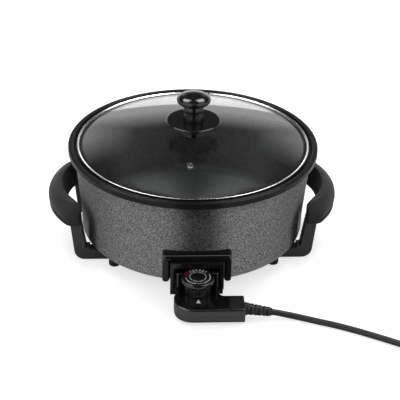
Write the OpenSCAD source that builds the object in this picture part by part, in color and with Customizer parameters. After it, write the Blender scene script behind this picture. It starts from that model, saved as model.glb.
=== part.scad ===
// Electric skillet with a loose glass lid, a pull-out heat control and its mains lead.
// Millimetres. +Z is up, the heat control is at the front (-Y), and the origin is on the
// worktop under the axis of the round pan.

/* [Pan] */
// Outer diameter of the flange
flange_d = 314; // [290:1:330]
// Height of the flange top above the worktop
rim_h = 136; // [130:1:150]
// Height of the flange band
flange_t = 7.4; // [6:0.1:10]
// Width of the flat flange top
flange_w = 6.6; // [5:0.1:8]
// How far the flange stands out past the wall
flange_overhang = 7.5; // [5:0.1:9]
// How much the radius of the wall shrinks from flange to base
wall_draft = 10; // [6:0.5:14]
// How far the upright lower part of the wall stands out past that
belly = 2.7; // [2:0.1:3.5]
// Thickness of the cast wall
wall_t = 4.6; // [3.5:0.1:6]
// Thickness of the cooking floor
floor_t = 5; // [4.6:0.1:8]
// Height of the underside above the worktop
base_h = 15.4; // [15:0.1:18]
// Radius of the outer corner at the base
base_corner = 12; // [8:0.5:14]
// Radius of the inner corner at the cooking floor
floor_fillet = 8; // [4:0.5:14]
// Depth of the ledge that the lid rests on
ledge_drop = 5; // [4:0.1:6]

/* [Lid] */
// Gap between the flange and the steel rim of the lid
lid_gap = 4.6; // [2:0.1:5]
// Width of the rim that rests on the ledge
lid_seat = 2.2; // [1.5:0.1:3]
// Rise of the glass dome above its edge
lid_rise = 13; // [8:0.5:25]
// Thickness of the glass
glass_t = 4; // [3:0.1:5]
// Thickness of the steel rim band
rim_band = 0.75; // [0.6:0.05:1]
// Width of the rim channel round the glass edge
rim_channel = 3.4; // [3:0.1:5]
// Diameter of the steam vent
vent_d = 4.4; // [3:0.1:6]
// Distance of the steam vent from the axis
vent_reach = 78; // [60:1:110]
// Angle of the steam vent round the lid
vent_angle = 265; // [0:1:359]
// Diameter of the knob
knob_d = 42.6; // [36:0.2:50]
// Height of the rounded head of the knob
knob_head_h = 17.2; // [14:0.2:24]
// Diameter of the knob neck
knob_neck_d = 27; // [20:0.5:30]
// Height of the knob neck
knob_neck_h = 18.9; // [12:0.1:26]
// Diameter of the finger guard under the knob
guard_d = 68; // [56:1:80]
// Thickness of the finger guard
guard_t = 3.6; // [3:0.1:5]
// Diameter of the boss under the finger guard
boss_d = 38; // [30:1:44]
// Height of the boss under the finger guard
boss_h = 13.5; // [8:0.5:18]

/* [Handles] */
// Gap for the fingers between the wall and the grip's upper inner edge
finger_gap = 20.8; // [18:0.1:26]
// Radius of the grip's outer face seen from above
grip_r = 100; // [95:1:108]
// Width of the grip at its top
grip_w = 18; // [15:0.5:20]
// Width of the grip at its underside, where the inner face leans to the wall
grip_foot_w = 24; // [22:0.5:26]
// Height of the grip
grip_h = 30; // [28:0.5:34]
// Height of the grip's underside above the worktop
grip_z = 53; // [48:0.5:58]
// Half the length of the grip, front to back
grip_half = 66; // [60:1:72]
// Width of a leg, seen from the front
leg_w = 14; // [12:0.5:16]
// How far a leg leans out from its foot to its top
leg_lean = 5.1; // [3:0.1:7]
// Depth of a leg, front to back
leg_depth = 15.5; // [14:0.5:18]
// Height of the leg's underside above the worktop
leg_z = 2; // [1:0.1:3]
// Height of the arm that turns in under the pan
arm_h = 16.8; // [15.5:0.1:20]
// Radius of the leg's outer lower corner
leg_corner = 13; // [6:0.5:14]
// Diameter of a rubber foot
foot_d = 14.4; // [12:0.2:16]

/* [Socket] */
// Width of the hood over the socket
hood_w = 83; // [78:1:95]
// Height of the hood roof
hood_t = 8; // [6:0.2:12]
// Width of the collar round the control
collar_w = 64; // [62:0.5:70]
// Width of the opening in the collar
collar_open = 54; // [53:0.5:56]
// Height of the collar's top above the worktop
collar_top = 56; // [55:0.5:60]
// Depth of the collar, front to back
collar_depth = 11; // [8:0.5:14]
// Thickness of the plate behind the collar
plate_t = 2.5; // [2:0.1:4]
// Distance between the two terminal pins
pin_pitch = 32; // [28:0.5:34]
// Diameter of a terminal pin
pin_d = 6; // [5:0.1:6.4]
// Height of the pins and the sensor above the worktop
pin_z = 12; // [11.6:0.1:12.6]
// Diameter of the heating tube
heater_d = 6.6; // [6:0.1:7]
// Radius of the heating loop
heater_r = 88; // [80:1:95]

/* [Control] */
// Width of the control's neck
neck_w = 51; // [48:0.5:52]
// Height of the control's case
case_h = 18; // [17:0.1:20]
// Height of the case's underside above the worktop
case_z = 5; // [4.6:0.1:6]
// Thickness of the case walls
case_t = 2; // [1.6:0.1:2.4]
// Reach of the case in front of the plate
case_reach = 61; // [58:0.5:70]
// Reach of the side arm that takes the lead
arm_reach = 54.5; // [50:0.5:62]
// Height of the tower behind the dial, above the case
tower_h = 20; // [14:0.5:22]
// Reach of the tower in front of the plate
tower_reach = 14; // [10:0.5:16]
// Diameter of the dial
dial_d = 39; // [34:0.5:42]
// Height of the dial
dial_h = 21.4; // [18:0.2:22]
// Number of ribs round the dial's grip
dial_ribs = 36; // [24:2:48]
// Diameter of the sensor tube
sensor_d = 6; // [5:0.1:6]
// Length of the sensor tube past the plate
sensor_len = 58; // [45:1:62]

/* [Mains lead] */
// Diameter of the mains lead
cord_d = 7.5; // [6.5:0.1:8]
// Diameter of the strain relief at the case
relief_d = 15.4; // [13:0.2:16]
// Length of the strain relief
relief_len = 30; // [24:1:40]
// Droop of the strain relief in degrees
relief_droop = 10; // [0:1:14]
// Radius of the coil's outer turn
coil_r = 49; // [46:0.5:54]
// Step from turn to turn of the coil
coil_pitch = 8.3; // [8:0.1:10]
// Diameter of the mains plug
plug_d = 37; // [34:0.5:40]
// Length of the plug's body
plug_len = 38; // [34:0.5:46]
// Diameter of a plug pin
plug_pin_d = 4.8; // [4:0.1:5]
// Length of a plug pin
plug_pin_len = 19; // [15:0.5:20]
// Distance between the plug pins
plug_pitch = 19; // [17:0.5:20]

/* [Hidden] */
$fn = 72;
eps = 0.05;
// Clearance of a piece that only sits in another
slip = 0.15;
// Clearance between pieces that part from each other
clear = 0.3;
// Clearance of a running shaft
run_fit = 0.05;

// Pan
rim_r = flange_d / 2;
recess_r = rim_r - flange_w;
wall_top_r = rim_r - flange_overhang;
wall_top_z = rim_h - flange_t;
base_r = wall_top_r - wall_draft;
floor_z = base_h + floor_t;
ledge_z = rim_h - ledge_drop;
lid_r = recess_r - lid_gap;
ledge_r = lid_r - lid_seat;
lip_z = wall_top_z - 2;
flange_edge = 1.2;
bead_w = heater_d + 6;
bead_z = pin_z - heater_d / 2 - 0.4;
wall_slope = wall_draft / (wall_top_z - base_h);
function wall_r(z) = let (out = wall_slope * (z - base_h))
    base_r + (out + belly + sqrt(pow(out - belly, 2) + 0.36)) / 2;
corner_z = base_h + base_corner;
corner_r = wall_r(corner_z) - base_corner;
wall_line = [for (i = [1:7]) corner_z + (wall_top_z - corner_z) * pow(i / 8, 1.4)];

// Lid
skirt_gap = 0.4;
skirt_h = 3;
lid_flat_r = boss_d / 2 + 2;
glass_edge_r = lid_r - rim_band - eps;
glass_edge_z = ledge_z + rim_band + eps;
brim_r = lid_r - rim_channel - 2.4;
glass_top_z = glass_edge_z + glass_t + lid_rise;
dome_r = (pow(brim_r, 2) - pow(lid_flat_r, 2)) / (2 * lid_rise);
function dome_z(r) = glass_top_z - (pow(max(r, lid_flat_r), 2) - pow(lid_flat_r, 2)) / (2 * dome_r);
vent_tilt = atan(vent_reach / dome_r);
seal_t = 1.2;
seal_d = 22;
washer_t = 1.2;
knob_bolt_d = 5;
insert_d = 9;
insert_h = 14;
guard_z = glass_top_z + seal_t + boss_h;
knob_z = guard_z + guard_t;
knob_head_z = knob_z + knob_neck_h + knob_head_h / 2;
knob_top = knob_head_z + knob_head_h / 2;

// Handles
grip_top = grip_z + grip_h;
grip_in = wall_r(grip_top) + finger_gap;
grip_cx = grip_in + grip_w - grip_r;
leg_y1 = grip_half - 2.5;
leg_y0 = leg_y1 - leg_depth;
leg_y = (leg_y0 + leg_y1) / 2;
leg_x_bot = base_r - 4;
leg_x_top = leg_x_bot + leg_lean;
toe_r = 9;
toe_y = grip_half - toe_r;
toe_x = grip_cx + sqrt(pow(grip_r - toe_r, 2) - pow(toe_y, 2));
toe_a = atan2(toe_y, toe_x - grip_cx);
grip_side = leg_x_top - 0.6;
arm_top = leg_z + arm_h;
arm_wall = corner_r + sqrt(pow(base_corner, 2) - pow(corner_z - arm_top, 2));
arm_step = sqrt(pow(arm_wall, 2) - pow(leg_y0, 2)) + 1;
arm_in = leg_x_bot - 39;
tenon_w = 8;
tenon_d = 9;
tenon_h = 11;
leg_screw_x = arm_in + 10;
foot_r = foot_d / 2;
foot_y = leg_y1 + 1.3 + foot_r;
foot_x = sqrt(pow(base_r - 9 - foot_r, 2) - pow(foot_y, 2));

// Socket
hood_top = collar_top + hood_t;
plate_y = -(wall_r(collar_top) + 0.35 + plate_t);
collar_bar = 8.5;
collar_foot = 17;
cheek_foot = 22;
cheek_w = (hood_w - collar_w) / 2 - 1.2;
hood_front = 6;
tongue_w = 44;
boss_front = base_r - 11.5;
boss_z = pin_z - heater_d / 2 - 2.3;
tongue_z = boss_z - 2.8;
tongue_in = boss_front - 28;
socket_screw_x = 8;
socket_screw_y = -(boss_front - 16);
hood_screw_x = 18;
bend_r = 10;
bend_x = pin_pitch / 2 + bend_r;
bend_y = -sqrt(pow(heater_r + bend_r, 2) - pow(bend_x, 2));
loop_half = atan(bend_x / -bend_y);
groove_w = heater_d + 2 * clear;
groove_top = pin_z + heater_d / 2 + slip;

// Control
case_top = case_z + case_h;
case_floor = case_z + case_t;
case_roof = case_top - case_t;
split_z = pin_z;
neck_y = plate_y - 1;
neck_reach = 22;
flare_y = -30.5;
nose_r = 22;
arm_fillet = 7;
side_x = neck_w / 2 + 3;
tower_x = neck_w / 2 - 0.5;
tower_r = 2.5;
dial_y = plate_y - 23.6;
dial_z = case_top + 0.6;
dial_top = dial_z + dial_h;
spindle_d = 6;
tip_d = 3;
blade_z = case_z + 10;
blade_t = 0.5;
blade_w = 8;
blade_front = plate_y - case_reach + 12;
blade_back = dial_y + 3;
tip_z = blade_z + blade_t + 0.4;
bush_d = 10;
sleeve_d = 9.4;
sleeve_y0 = plate_y - 3.2;
sleeve_y1 = plate_y - 13;
block_t = 4;
lead_y = plate_y - (case_reach - flare_y) / 2;
lead_z = case_z + case_h / 2;
clamp_w = case_reach + flare_y - 2 * case_t - 4.5;
clamp_screw_y = clamp_w / 2 - 3.5;
screw_posts = [[-side_x + 6, plate_y - 41], [arm_reach - 6, plate_y - 35],
    [arm_reach - 26.5, plate_y - case_reach + 6.5]];

// Mains lead
cord_r = cord_d / 2;
relief_end_d = 11;
relief_root = arm_reach + 2;
relief_end = [relief_root + relief_len * cos(relief_droop), lead_y, lead_z - relief_len * sin(relief_droop)];
lead_run = [cos(relief_droop), 0, -sin(relief_droop)];
bed_z = 1.4;
coil_x = 294;
coil_y = -232;
coil_start = 240;
coil_turns = 3 + (360 - coil_start) / 360;
coil_steps = round(24 * coil_turns);
coil_layer = cord_d + 0.6;
coil_z = bed_z + cord_r;
// Places where the lead lies on the worktop, from the control to the coil
route = [[102, -193, 6.2], [113, -195.5, 5], [126, -200, 4.4], [141, -206, 4.2], [158, -213, 4.2],
    [176, -221.5, 4.2], [194, -231, 4.2], [212, -241.5, 4.4], [229, -252, 4.7], [246, -262, 5]];
// Plug, beside the coil
plug_x = coil_x + coil_r;
plug_y = coil_y + 46;
plug_z = plug_d / 2 + 0.2;
plug_neck = 22;

// Points of an arc about c, from angle a to angle b
function arc(c, r, a, b, n = 8) =
    [for (i = [0:n]) let (t = a + (b - a) * i / n) [c[0] + r * cos(t), c[1] + r * sin(t)]];
function unit(v) = v / norm(v);
function smooth(t) = let (c = min(1, max(0, t))) c * c * (3 - 2 * c);

// A tube with flat ends that follows a list of points
function heading(p, i) = unit(p[min(i + 1, len(p) - 1)] - p[max(i - 1, 0)]);
function hoop(c, t, r, n) =
    let (s = unit(cross(t, [0, 0, 1])), u = cross(s, t))
    [for (k = [0:n - 1]) c + r * (cos(360 * k / n) * s + sin(360 * k / n) * u)];
module tube(path, r, n) {
    m = len(path);
    points = [for (i = [0:m - 1]) each hoop(path[i], heading(path, i), r, n)];
    skin = [for (i = [0:m - 2], k = [0:n - 1])
        let (a = i * n + k, b = i * n + (k + 1) % n) each [[a, b, b + n], [a, b + n, a + n]]];
    ends = [for (k = [1:n - 2]) each [[0, k + 1, k], [(m - 1) * n, (m - 1) * n + k, (m - 1) * n + k + 1]]];
    polyhedron(points = points, faces = concat(skin, ends));
}

// A cross-head screw along +Z, with the underside of its head at z = 0
module screw(head_d, head_h, shank_d, length) {
    difference() {
        union() {
            translate([0, 0, -head_h]) cylinder(d = head_d, h = head_h);
            cylinder(d = shank_d, h = length);
        }
        for (a = [0, 90])
            rotate([0, 0, a]) translate([-head_d * 0.3, -head_d * 0.06, -head_h - eps])
                cube([head_d * 0.6, head_d * 0.12, head_h * 0.6]);
    }
}

// The four places that a piece has on the two sides, front and back
module four_ways() {
    for (mx = [0, 1], my = [0, 1])
        mirror([mx, 0, 0]) mirror([0, my, 0]) children();
}

// Centre line of the heating tube: a straight end, a bend, the loop, a bend and a straight end
heater_half = concat(
    [[pin_pitch / 2, -boss_front], [pin_pitch / 2, (bend_y - boss_front) / 2]],
    arc([bend_x, bend_y], bend_r, 180, 90 + loop_half, 5));
heater_line = concat(
    heater_half,
    [for (i = [1:43]) let (a = loop_half - 90 + (360 - 2 * loop_half) * i / 44) heater_r * [cos(a), sin(a)]],
    [for (i = [len(heater_half) - 1:-1:0]) [-heater_half[i][0], heater_half[i][1]]]);
heater_path = [for (p = heater_line) [p[0], p[1], pin_z]];

pan_outline = concat(
    [[0, base_h]],
    arc([corner_r, corner_z], base_corner, 270, 360, 10),
    [for (z = wall_line) [wall_r(z), z]],
    [[wall_top_r, wall_top_z], [rim_r - flange_edge, wall_top_z]],
    arc([rim_r - flange_edge, wall_top_z + flange_edge], flange_edge, 300, 360, 3),
    arc([rim_r - flange_edge, rim_h - flange_edge], flange_edge, 0, 90, 4),
    arc([recess_r + flange_edge, rim_h - flange_edge], flange_edge, 90, 180, 4),
    [[recess_r, ledge_z], [ledge_r, ledge_z], [ledge_r, lip_z], [wall_r(lip_z - 6) - wall_t, lip_z - 6]],
    [for (i = [6:-1:0]) let (z = wall_line[i]) if (z < lip_z - 7 && z > floor_z + floor_fillet + 1) [wall_r(z) - wall_t, z]],
    arc([wall_r(floor_z + floor_fillet) - wall_t - floor_fillet, floor_z + floor_fillet],
        floor_fillet, 0, -90, 6),
    [[0, floor_z]]);

module pan_body() {
    color("#5a5c5e") difference() {
        union() {
            rotate_extrude($fn = 180) polygon(pan_outline);
            rotate_extrude($fn = 144) translate([heater_r - bead_w / 2, bead_z])
                square([bead_w, base_h - bead_z + 1]);
            translate([-tongue_w / 2 - 1, -boss_front, boss_z])
                cube([tongue_w + 2, boss_front + bend_y + 18, base_h - boss_z + 1]);
        }
        // groove of the loop, and a slot and a pocket for each end of the tube
        translate([0, 0, -eps]) rotate_extrude($fn = 144) translate([heater_r - groove_w / 2, 0])
            square([groove_w, groove_top]);
        for (m = [0, 1])
            mirror([m, 0, 0]) {
                translate([pin_pitch / 2 - groove_w / 2, -boss_front - eps, 0])
                    cube([groove_w, boss_front + bend_y + 8, groove_top]);
                translate([pin_pitch / 2 - groove_w / 2, bend_y - 4, 0]) cube([bend_r + 8, 14, groove_top]);
            }
        translate([0, -boss_front - eps, pin_z]) rotate([-90, 0, 0])
            cylinder(d = sensor_d + 2 * clear, h = sensor_len - (-plate_y - boss_front) + 1);
        for (s = [-1, 1])
            translate([s * socket_screw_x, socket_screw_y, boss_z - eps]) cylinder(d = 3 + 2 * run_fit, h = 9);
        four_ways() {
            translate([leg_screw_x, leg_y, base_h - eps]) cylinder(d = 4 + 2 * run_fit, h = floor_t - 0.8);
            translate([foot_x, foot_y, base_h - eps]) cylinder(d = 3.5 + 2 * run_fit, h = floor_t - 0.8);
        }
    }
}

module heating_element() {
    color("#8d8f92") tube(heater_path, heater_d / 2, 10);
}

module terminal_pins() {
    color("#c9cbcd") for (s = [-1, 1])
        translate([s * pin_pitch / 2, -boss_front, pin_z]) rotate([90, 0, 0]) {
            cylinder(d = pin_d, h = -plate_y - boss_front + 10);
            translate([0, 0, -plate_y - boss_front + 10]) cylinder(d1 = pin_d, d2 = pin_d - 2, h = 1.4);
        }
}

module pin_insulators() {
    back = base_r - 4.4;
    color("#e9e4d8") for (s = [-1, 1])
        translate([s * pin_pitch / 2, -back, pin_z]) rotate([90, 0, 0]) difference() {
            cylinder(d = pin_d + 4, h = -plate_y - back);
            translate([0, 0, -eps]) cylinder(d = pin_d + 2 * run_fit, h = 40);
        }
}

// Collar that guides the control, with the plate behind it and the tongue under the pan
module socket_collar() {
    color("#1b1b1c") difference() {
        union() {
            translate([-collar_w / 2, plate_y - collar_depth, collar_foot])
                cube([collar_w, collar_depth + plate_t, collar_top - collar_foot]);
            translate([-collar_w / 2, plate_y, tongue_z]) cube([collar_w, plate_t, collar_top - tongue_z]);
            translate([-tongue_w / 2, plate_y, tongue_z])
                cube([tongue_w, -plate_y - tongue_in, boss_z - tongue_z]);
        }
        translate([-collar_open / 2, plate_y - collar_depth - eps, collar_foot - eps])
            cube([collar_open, collar_depth + eps, collar_top - collar_foot - collar_bar]);
        for (s = [-1, 1])
            translate([s * pin_pitch / 2, plate_y - eps, pin_z]) rotate([-90, 0, 0])
                cylinder(d = pin_d + 4 + 2 * slip, h = plate_t + 1);
        translate([0, plate_y - eps, pin_z]) rotate([-90, 0, 0]) cylinder(d = sensor_d + 2, h = plate_t + 1);
        for (s = [-1, 1]) {
            translate([s * socket_screw_x, socket_screw_y, tongue_z - eps]) cylinder(d = 3.4, h = 10);
            translate([s * hood_screw_x, plate_y - 3, collar_top - collar_bar - eps]) {
                cylinder(d = 5.6, h = 2 + eps);
                cylinder(d = 3.2, h = 20);
            }
        }
    }
}

hood_outline = concat(
    arc([hood_w / 2 - 4, hood_top - 4], 4, 0, 90, 5),
    arc([-hood_w / 2 + 4, hood_top - 4], 4, 90, 180, 5),
    [[-hood_w / 2, collar_top], [hood_w / 2, collar_top]]);

// Roof over the socket and the two cheeks beside the collar, shaped to the pan's wall
module socket_hood() {
    color("#1b1b1c") difference() {
        union() {
            translate([0, 0, 0]) rotate([90, 0, 0]) translate([0, 0, base_r - 20])
                linear_extrude(-plate_y + hood_front - base_r + 20) polygon(hood_outline);
            for (m = [0, 1])
                mirror([m, 0, 0]) translate([hood_w / 2 - cheek_w, plate_y, cheek_foot])
                    cube([cheek_w, -plate_y - base_r + 20, collar_top - cheek_foot + 1]);
        }
        rotate_extrude($fn = 180) polygon(concat(
            [for (z = concat([0], wall_line, [wall_top_z])) [wall_r(z) + clear, z]], [[0, wall_top_z], [0, 0]]));
        for (s = [-1, 1])
            translate([s * hood_screw_x, plate_y - 3, collar_top - eps]) cylinder(d = 3 + 2 * run_fit, h = 5.5);
    }
}

module hood_screws() {
    color("#9a9c9e") for (s = [-1, 1])
        translate([s * hood_screw_x, plate_y - 3, collar_top - collar_bar + 2])
            screw(5.2, 1.9, 3, collar_bar - 2 + 5);
}

module socket_screws() {
    color("#9a9c9e") for (s = [-1, 1])
        translate([s * socket_screw_x, socket_screw_y, tongue_z]) screw(6, 1.8, 3, boss_z - tongue_z + 8);
}

// Section of the grip, seen along the arch, with its bulging outer face and the line above its foot
grip_outline = concat(
    [[grip_r - grip_foot_w, grip_z], [grip_r - 2.4, grip_z], [grip_r - 1.1, grip_z + 1.2], [grip_r - 0.8, grip_z + 4.6],
        [grip_r - 1.9, grip_z + 5], [grip_r - 1.8, grip_z + 5.6]],
    arc([grip_r - 17, grip_z + 13], 17, -24, 60, 9),
    [[grip_r - 12, grip_top - 0.5]],
    arc([grip_r - grip_w + 3, grip_top - 3], 3, 90, 190, 5));

// The grip's ends seen from above: they turn in to the legs with round corners
grip_end = concat(
    [[grip_cx + 1.25 * grip_r * cos(toe_a), 1.25 * grip_r * sin(toe_a)]],
    arc([toe_x, toe_y], toe_r, toe_a, 90, 6),
    arc([grip_side + 6, grip_half - 6], 6, 90, 180, 5));

// The grip seen from the side: its top comes down to both ends
grip_side_view = concat(
    [[-grip_half, grip_z - 1], [grip_half, grip_z - 1]],
    arc([grip_half - 18, grip_top - 18], 18, 0, 88, 8),
    arc([18 - grip_half, grip_top - 18], 18, 92, 180, 8));

// Grip of the right side; the left one is its mirror image
module grip() {
    difference() {
        intersection() {
            translate([grip_cx, 0, 0]) rotate([0, 0, 180]) rotate_extrude($fn = 144) polygon(grip_outline);
            linear_extrude(rim_h) polygon(concat([[grip_cx + 1.3 * grip_r, 0]], grip_end,
                [for (i = [len(grip_end) - 1:-1:0]) [grip_end[i][0], -grip_end[i][1]]]));
            rotate([90, 0, 90]) linear_extrude(3 * grip_r) polygon(grip_side_view);
        }
        for (m = [0, 1])
            mirror([0, m, 0]) translate([leg_x_top + leg_w / 2, leg_y, grip_z]) {
                translate([-tenon_w / 2 - slip, -tenon_d / 2 - slip, -eps])
                    cube([tenon_w + 2 * slip, tenon_d + 2 * slip, tenon_h + slip]);
                translate([-leg_w, 0, 6]) rotate([0, 90, 0]) {
                    cylinder(d = 3.4, h = leg_w);
                    cylinder(d = 6.4, h = leg_w / 2 - 0.6 + 2.2);
                }
            }
    }
}
module left_grip() {
    color("#3a3a3b") mirror([1, 0, 0]) grip();
}
module right_grip() {
    color("#3a3a3b") grip();
}

// Leg of the rear right side: it turns in under the pan and carries the end of the grip
module leg() {
    outline = concat(
        [[arm_in, leg_z], [leg_x_bot + leg_w - leg_corner, leg_z]],
        arc([leg_x_bot + leg_w - leg_corner, leg_z + leg_corner], leg_corner, 270, 354, 7),
        [[leg_x_top + leg_w, grip_z], [leg_x_top, grip_z], [leg_x_bot, arm_top], [arm_step, arm_top],
            [arm_step, base_h], [arm_in, base_h]]);
    color("#3a3a3b") difference() {
        union() {
            translate([0, leg_y1, 0]) rotate([90, 0, 0]) linear_extrude(leg_depth) polygon(outline);
            translate([leg_x_top + leg_w / 2 - tenon_w / 2, leg_y - tenon_d / 2, grip_z - 1])
                cube([tenon_w, tenon_d, tenon_h + 1]);
        }
        translate([leg_screw_x, leg_y, leg_z - eps]) {
            cylinder(d = 8.4, h = 4 + eps);
            cylinder(d = 4.4, h = base_h);
        }
        translate([leg_x_top, leg_y, grip_z + 6]) rotate([0, 90, 0])
            cylinder(d = 3 + 2 * run_fit, h = leg_w / 2 + 1.5);
    }
}
module front_left_leg() {
    mirror([1, 0, 0]) mirror([0, 1, 0]) leg();
}
module rear_left_leg() {
    mirror([1, 0, 0]) leg();
}
module front_right_leg() {
    mirror([0, 1, 0]) leg();
}
module rear_right_leg() {
    leg();
}

module grip_screws() {
    color("#9a9c9e") four_ways()
        translate([leg_x_top - 0.6 + 2.2, leg_y, grip_z + 6]) rotate([0, 90, 0]) screw(6, 2, 3, leg_w / 2 - 0.8);
}

module leg_screws() {
    color("#9a9c9e") four_ways()
        translate([leg_screw_x, leg_y, leg_z + 4]) screw(7.6, 3, 4, base_h - leg_z - 4 + floor_t - 1.6);
}

module base_feet() {
    color("#161616") four_ways() translate([foot_x, foot_y, 0]) difference() {
        rotate_extrude() polygon(concat(
            [[0, 0]],
            arc([foot_r - 1.5, 1.5], 1.5, 270, 360, 4),
            [[foot_r, base_h], [0, base_h]]));
        translate([0, 0, -eps]) cylinder(d = 7.4, h = 5 + eps);
        cylinder(d = 3.9, h = base_h + eps);
    }
}

module foot_screws() {
    color("#9a9c9e") four_ways()
        translate([foot_x, foot_y, 5]) screw(6.8, 2.4, 3.5, base_h - 5 + floor_t - 1.6);
}

glass_outline = concat(
    [[0, glass_top_z - glass_t], [lid_flat_r, glass_top_z - glass_t]],
    [for (i = [1:12]) let (r = lid_flat_r + (brim_r - lid_flat_r) * i / 12) [r, dome_z(r) - glass_t]],
    [[glass_edge_r, glass_edge_z], [glass_edge_r, glass_edge_z + glass_t]],
    [for (i = [12:-1:1]) let (r = lid_flat_r + (brim_r - lid_flat_r) * i / 12) [r, dome_z(r)]],
    [[lid_flat_r, glass_top_z], [0, glass_top_z]]);

// Place and slope of the steam vent on the dome
module at_vent() {
    rotate([0, 0, vent_angle]) translate([vent_reach, 0, dome_z(vent_reach)]) rotate([0, vent_tilt, 0]) children();
}

module lid_glass() {
    color("#cfd6d8", 0.4) difference() {
        rotate_extrude($fn = 180) polygon(glass_outline);
        translate([0, 0, glass_top_z - 2 * glass_t]) cylinder(d = knob_bolt_d + 2, h = 3 * glass_t);
        at_vent() translate([0, 0, -2 * glass_t]) cylinder(d = vent_d + 2, h = 3 * glass_t);
    }
}

module lid_rim() {
    top = glass_edge_z + glass_t + eps + rim_band;
    inner = lid_r - rim_channel;
    color("#d4d6d8") rotate_extrude($fn = 180) polygon(concat(
        [[inner, ledge_z - skirt_h], [ledge_r - skirt_gap, ledge_z - skirt_h], [ledge_r - skirt_gap, ledge_z],
            [lid_r, ledge_z]],
        arc([lid_r - 0.7, top - 0.7], 0.7, 0, 90, 3),
        [[inner, top], [inner, top - rim_band], [lid_r - rim_band, top - rim_band],
            [lid_r - rim_band, ledge_z + rim_band], [inner, ledge_z + rim_band]]));
}

module vent_eyelet() {
    color("#b9bbbd") at_vent() difference() {
        union() {
            translate([0, 0, eps]) cylinder(d = vent_d + 5, h = 1);
            translate([0, 0, -glass_t - 1]) cylinder(d = vent_d + 2 - 2 * slip, h = glass_t + 1.5);
            translate([0, 0, -glass_t - 1.2]) cylinder(d = vent_d + 4, h = 1);
        }
        translate([0, 0, -2 * glass_t]) cylinder(d = vent_d, h = 3 * glass_t);
    }
}

module upper_seal() {
    color("#2a2a2a") translate([0, 0, glass_top_z]) difference() {
        cylinder(d = seal_d, h = seal_t);
        translate([0, 0, -eps]) cylinder(d = knob_bolt_d + 0.6, h = seal_t + 1);
    }
}

module knob_guard() {
    color("#121212") difference() {
        rotate_extrude($fn = 96) polygon(concat(
            [[0, guard_z - boss_h], [boss_d / 2 - 1, guard_z - boss_h], [boss_d / 2, guard_z - boss_h + 1],
                [boss_d / 2 - 2, guard_z]],
            arc([guard_d / 2 - guard_t / 2, guard_z + guard_t / 2], guard_t / 2, 270, 450, 8),
            [[0, guard_z + guard_t]]));
        cylinder(d = knob_bolt_d + 0.6, h = knob_top);
    }
}

knob_outline = concat(
    [[0, knob_z], [knob_neck_d / 2 - 0.8, knob_z], [knob_neck_d / 2, knob_z + 0.8],
        [knob_neck_d / 2 - 1, knob_z + knob_neck_h * 0.55], [knob_neck_d / 2 - 0.4, knob_z + knob_neck_h * 0.8]],
    [for (a = [-62:8:90]) [knob_d / 2 * cos(a), knob_head_z + knob_head_h / 2 * sin(a)]],
    [[0, knob_top]]);

module lid_knob() {
    color("#0f0f10") difference() {
        rotate_extrude($fn = 96) polygon(knob_outline);
        translate([0, 0, knob_z - eps]) cylinder(d = insert_d + 2 * run_fit, h = insert_h + eps);
    }
}

module knob_insert() {
    color("#b08d3c") translate([0, 0, knob_z]) difference() {
        cylinder(d = insert_d, h = insert_h);
        translate([0, 0, -eps]) cylinder(d = knob_bolt_d + 2 * run_fit, h = insert_h - 1);
    }
}

module lower_seal() {
    color("#2a2a2a") translate([0, 0, glass_top_z - glass_t - seal_t]) difference() {
        cylinder(d = seal_d - 4, h = seal_t);
        translate([0, 0, -eps]) cylinder(d = knob_bolt_d + 0.6, h = seal_t + 1);
    }
}

module screw_washer() {
    color("#b9bbbd") translate([0, 0, glass_top_z - glass_t - seal_t - washer_t]) difference() {
        cylinder(d = seal_d - 6, h = washer_t);
        translate([0, 0, -eps]) cylinder(d = knob_bolt_d + 0.6, h = washer_t + 1);
    }
}

module knob_screw() {
    start = glass_top_z - glass_t - seal_t - washer_t;
    color("#b9bbbd") translate([0, 0, start]) screw(9, 3, knob_bolt_d, knob_z + insert_h - 3 - start);
}

// Outline of the control's case seen from above, drawn in by a wall thickness
function case_outline(inset) = let (x = neck_w / 2 - inset, s = side_x - inset, a = arm_reach - inset,
    f = -case_reach + inset, r = nose_r - inset, b = flare_y - inset) concat(
    [[-x, -1 - inset], [x, -1 - inset]],
    arc([neck_w / 2 + arm_fillet, flare_y + arm_fillet], arm_fillet + inset, 180, 270, 5),
    [[a - 2, b], [a, b - 2], [a, f + 2], [a - 2, f]],
    arc([-side_x + nose_r, -case_reach + nose_r], r, 270, 180, 9),
    [[-s, flare_y], [-x, -neck_reach]]);
module case_slab(inset, z0, z1) {
    translate([0, plate_y, z0]) linear_extrude(z1 - z0) polygon(case_outline(inset));
}
// Tower behind the dial seen from above; a round hollow in it makes room for the dial
function tower_outline(inset) = concat(
    [[-tower_x + inset, -1 - inset], [tower_x - inset, -1 - inset]],
    arc([tower_x - tower_r, tower_r - tower_reach], tower_r - inset, 0, -90, 4),
    arc([tower_r - tower_x, tower_r - tower_reach], tower_r - inset, 270, 180, 4));
module tower() {
    difference() {
        translate([0, plate_y, case_top - 1]) {
            linear_extrude(tower_h) polygon(tower_outline(0));
            linear_extrude(tower_h + 1) polygon(tower_outline(1));
        }
        translate([0, dial_y, case_top]) cylinder(r = dial_d / 2 + 1.2, h = tower_h + 5, $fn = 96);
    }
}
// Ways through the case for the pins, the sensor and the strain relief
module case_ways() {
    for (s = [-1, 1])
        translate([s * pin_pitch / 2, plate_y, pin_z]) rotate([90, 0, 0]) cylinder(d = pin_d + 2 * clear + 0.6, h = 6);
    translate([0, plate_y, pin_z]) rotate([90, 0, 0]) cylinder(d = sensor_d + 2 * slip, h = 6);
    translate([arm_reach - 8, lead_y, lead_z]) rotate([0, 90, 0]) cylinder(d = relief_d - 2 + 2 * slip, h = 20);
}

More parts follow.
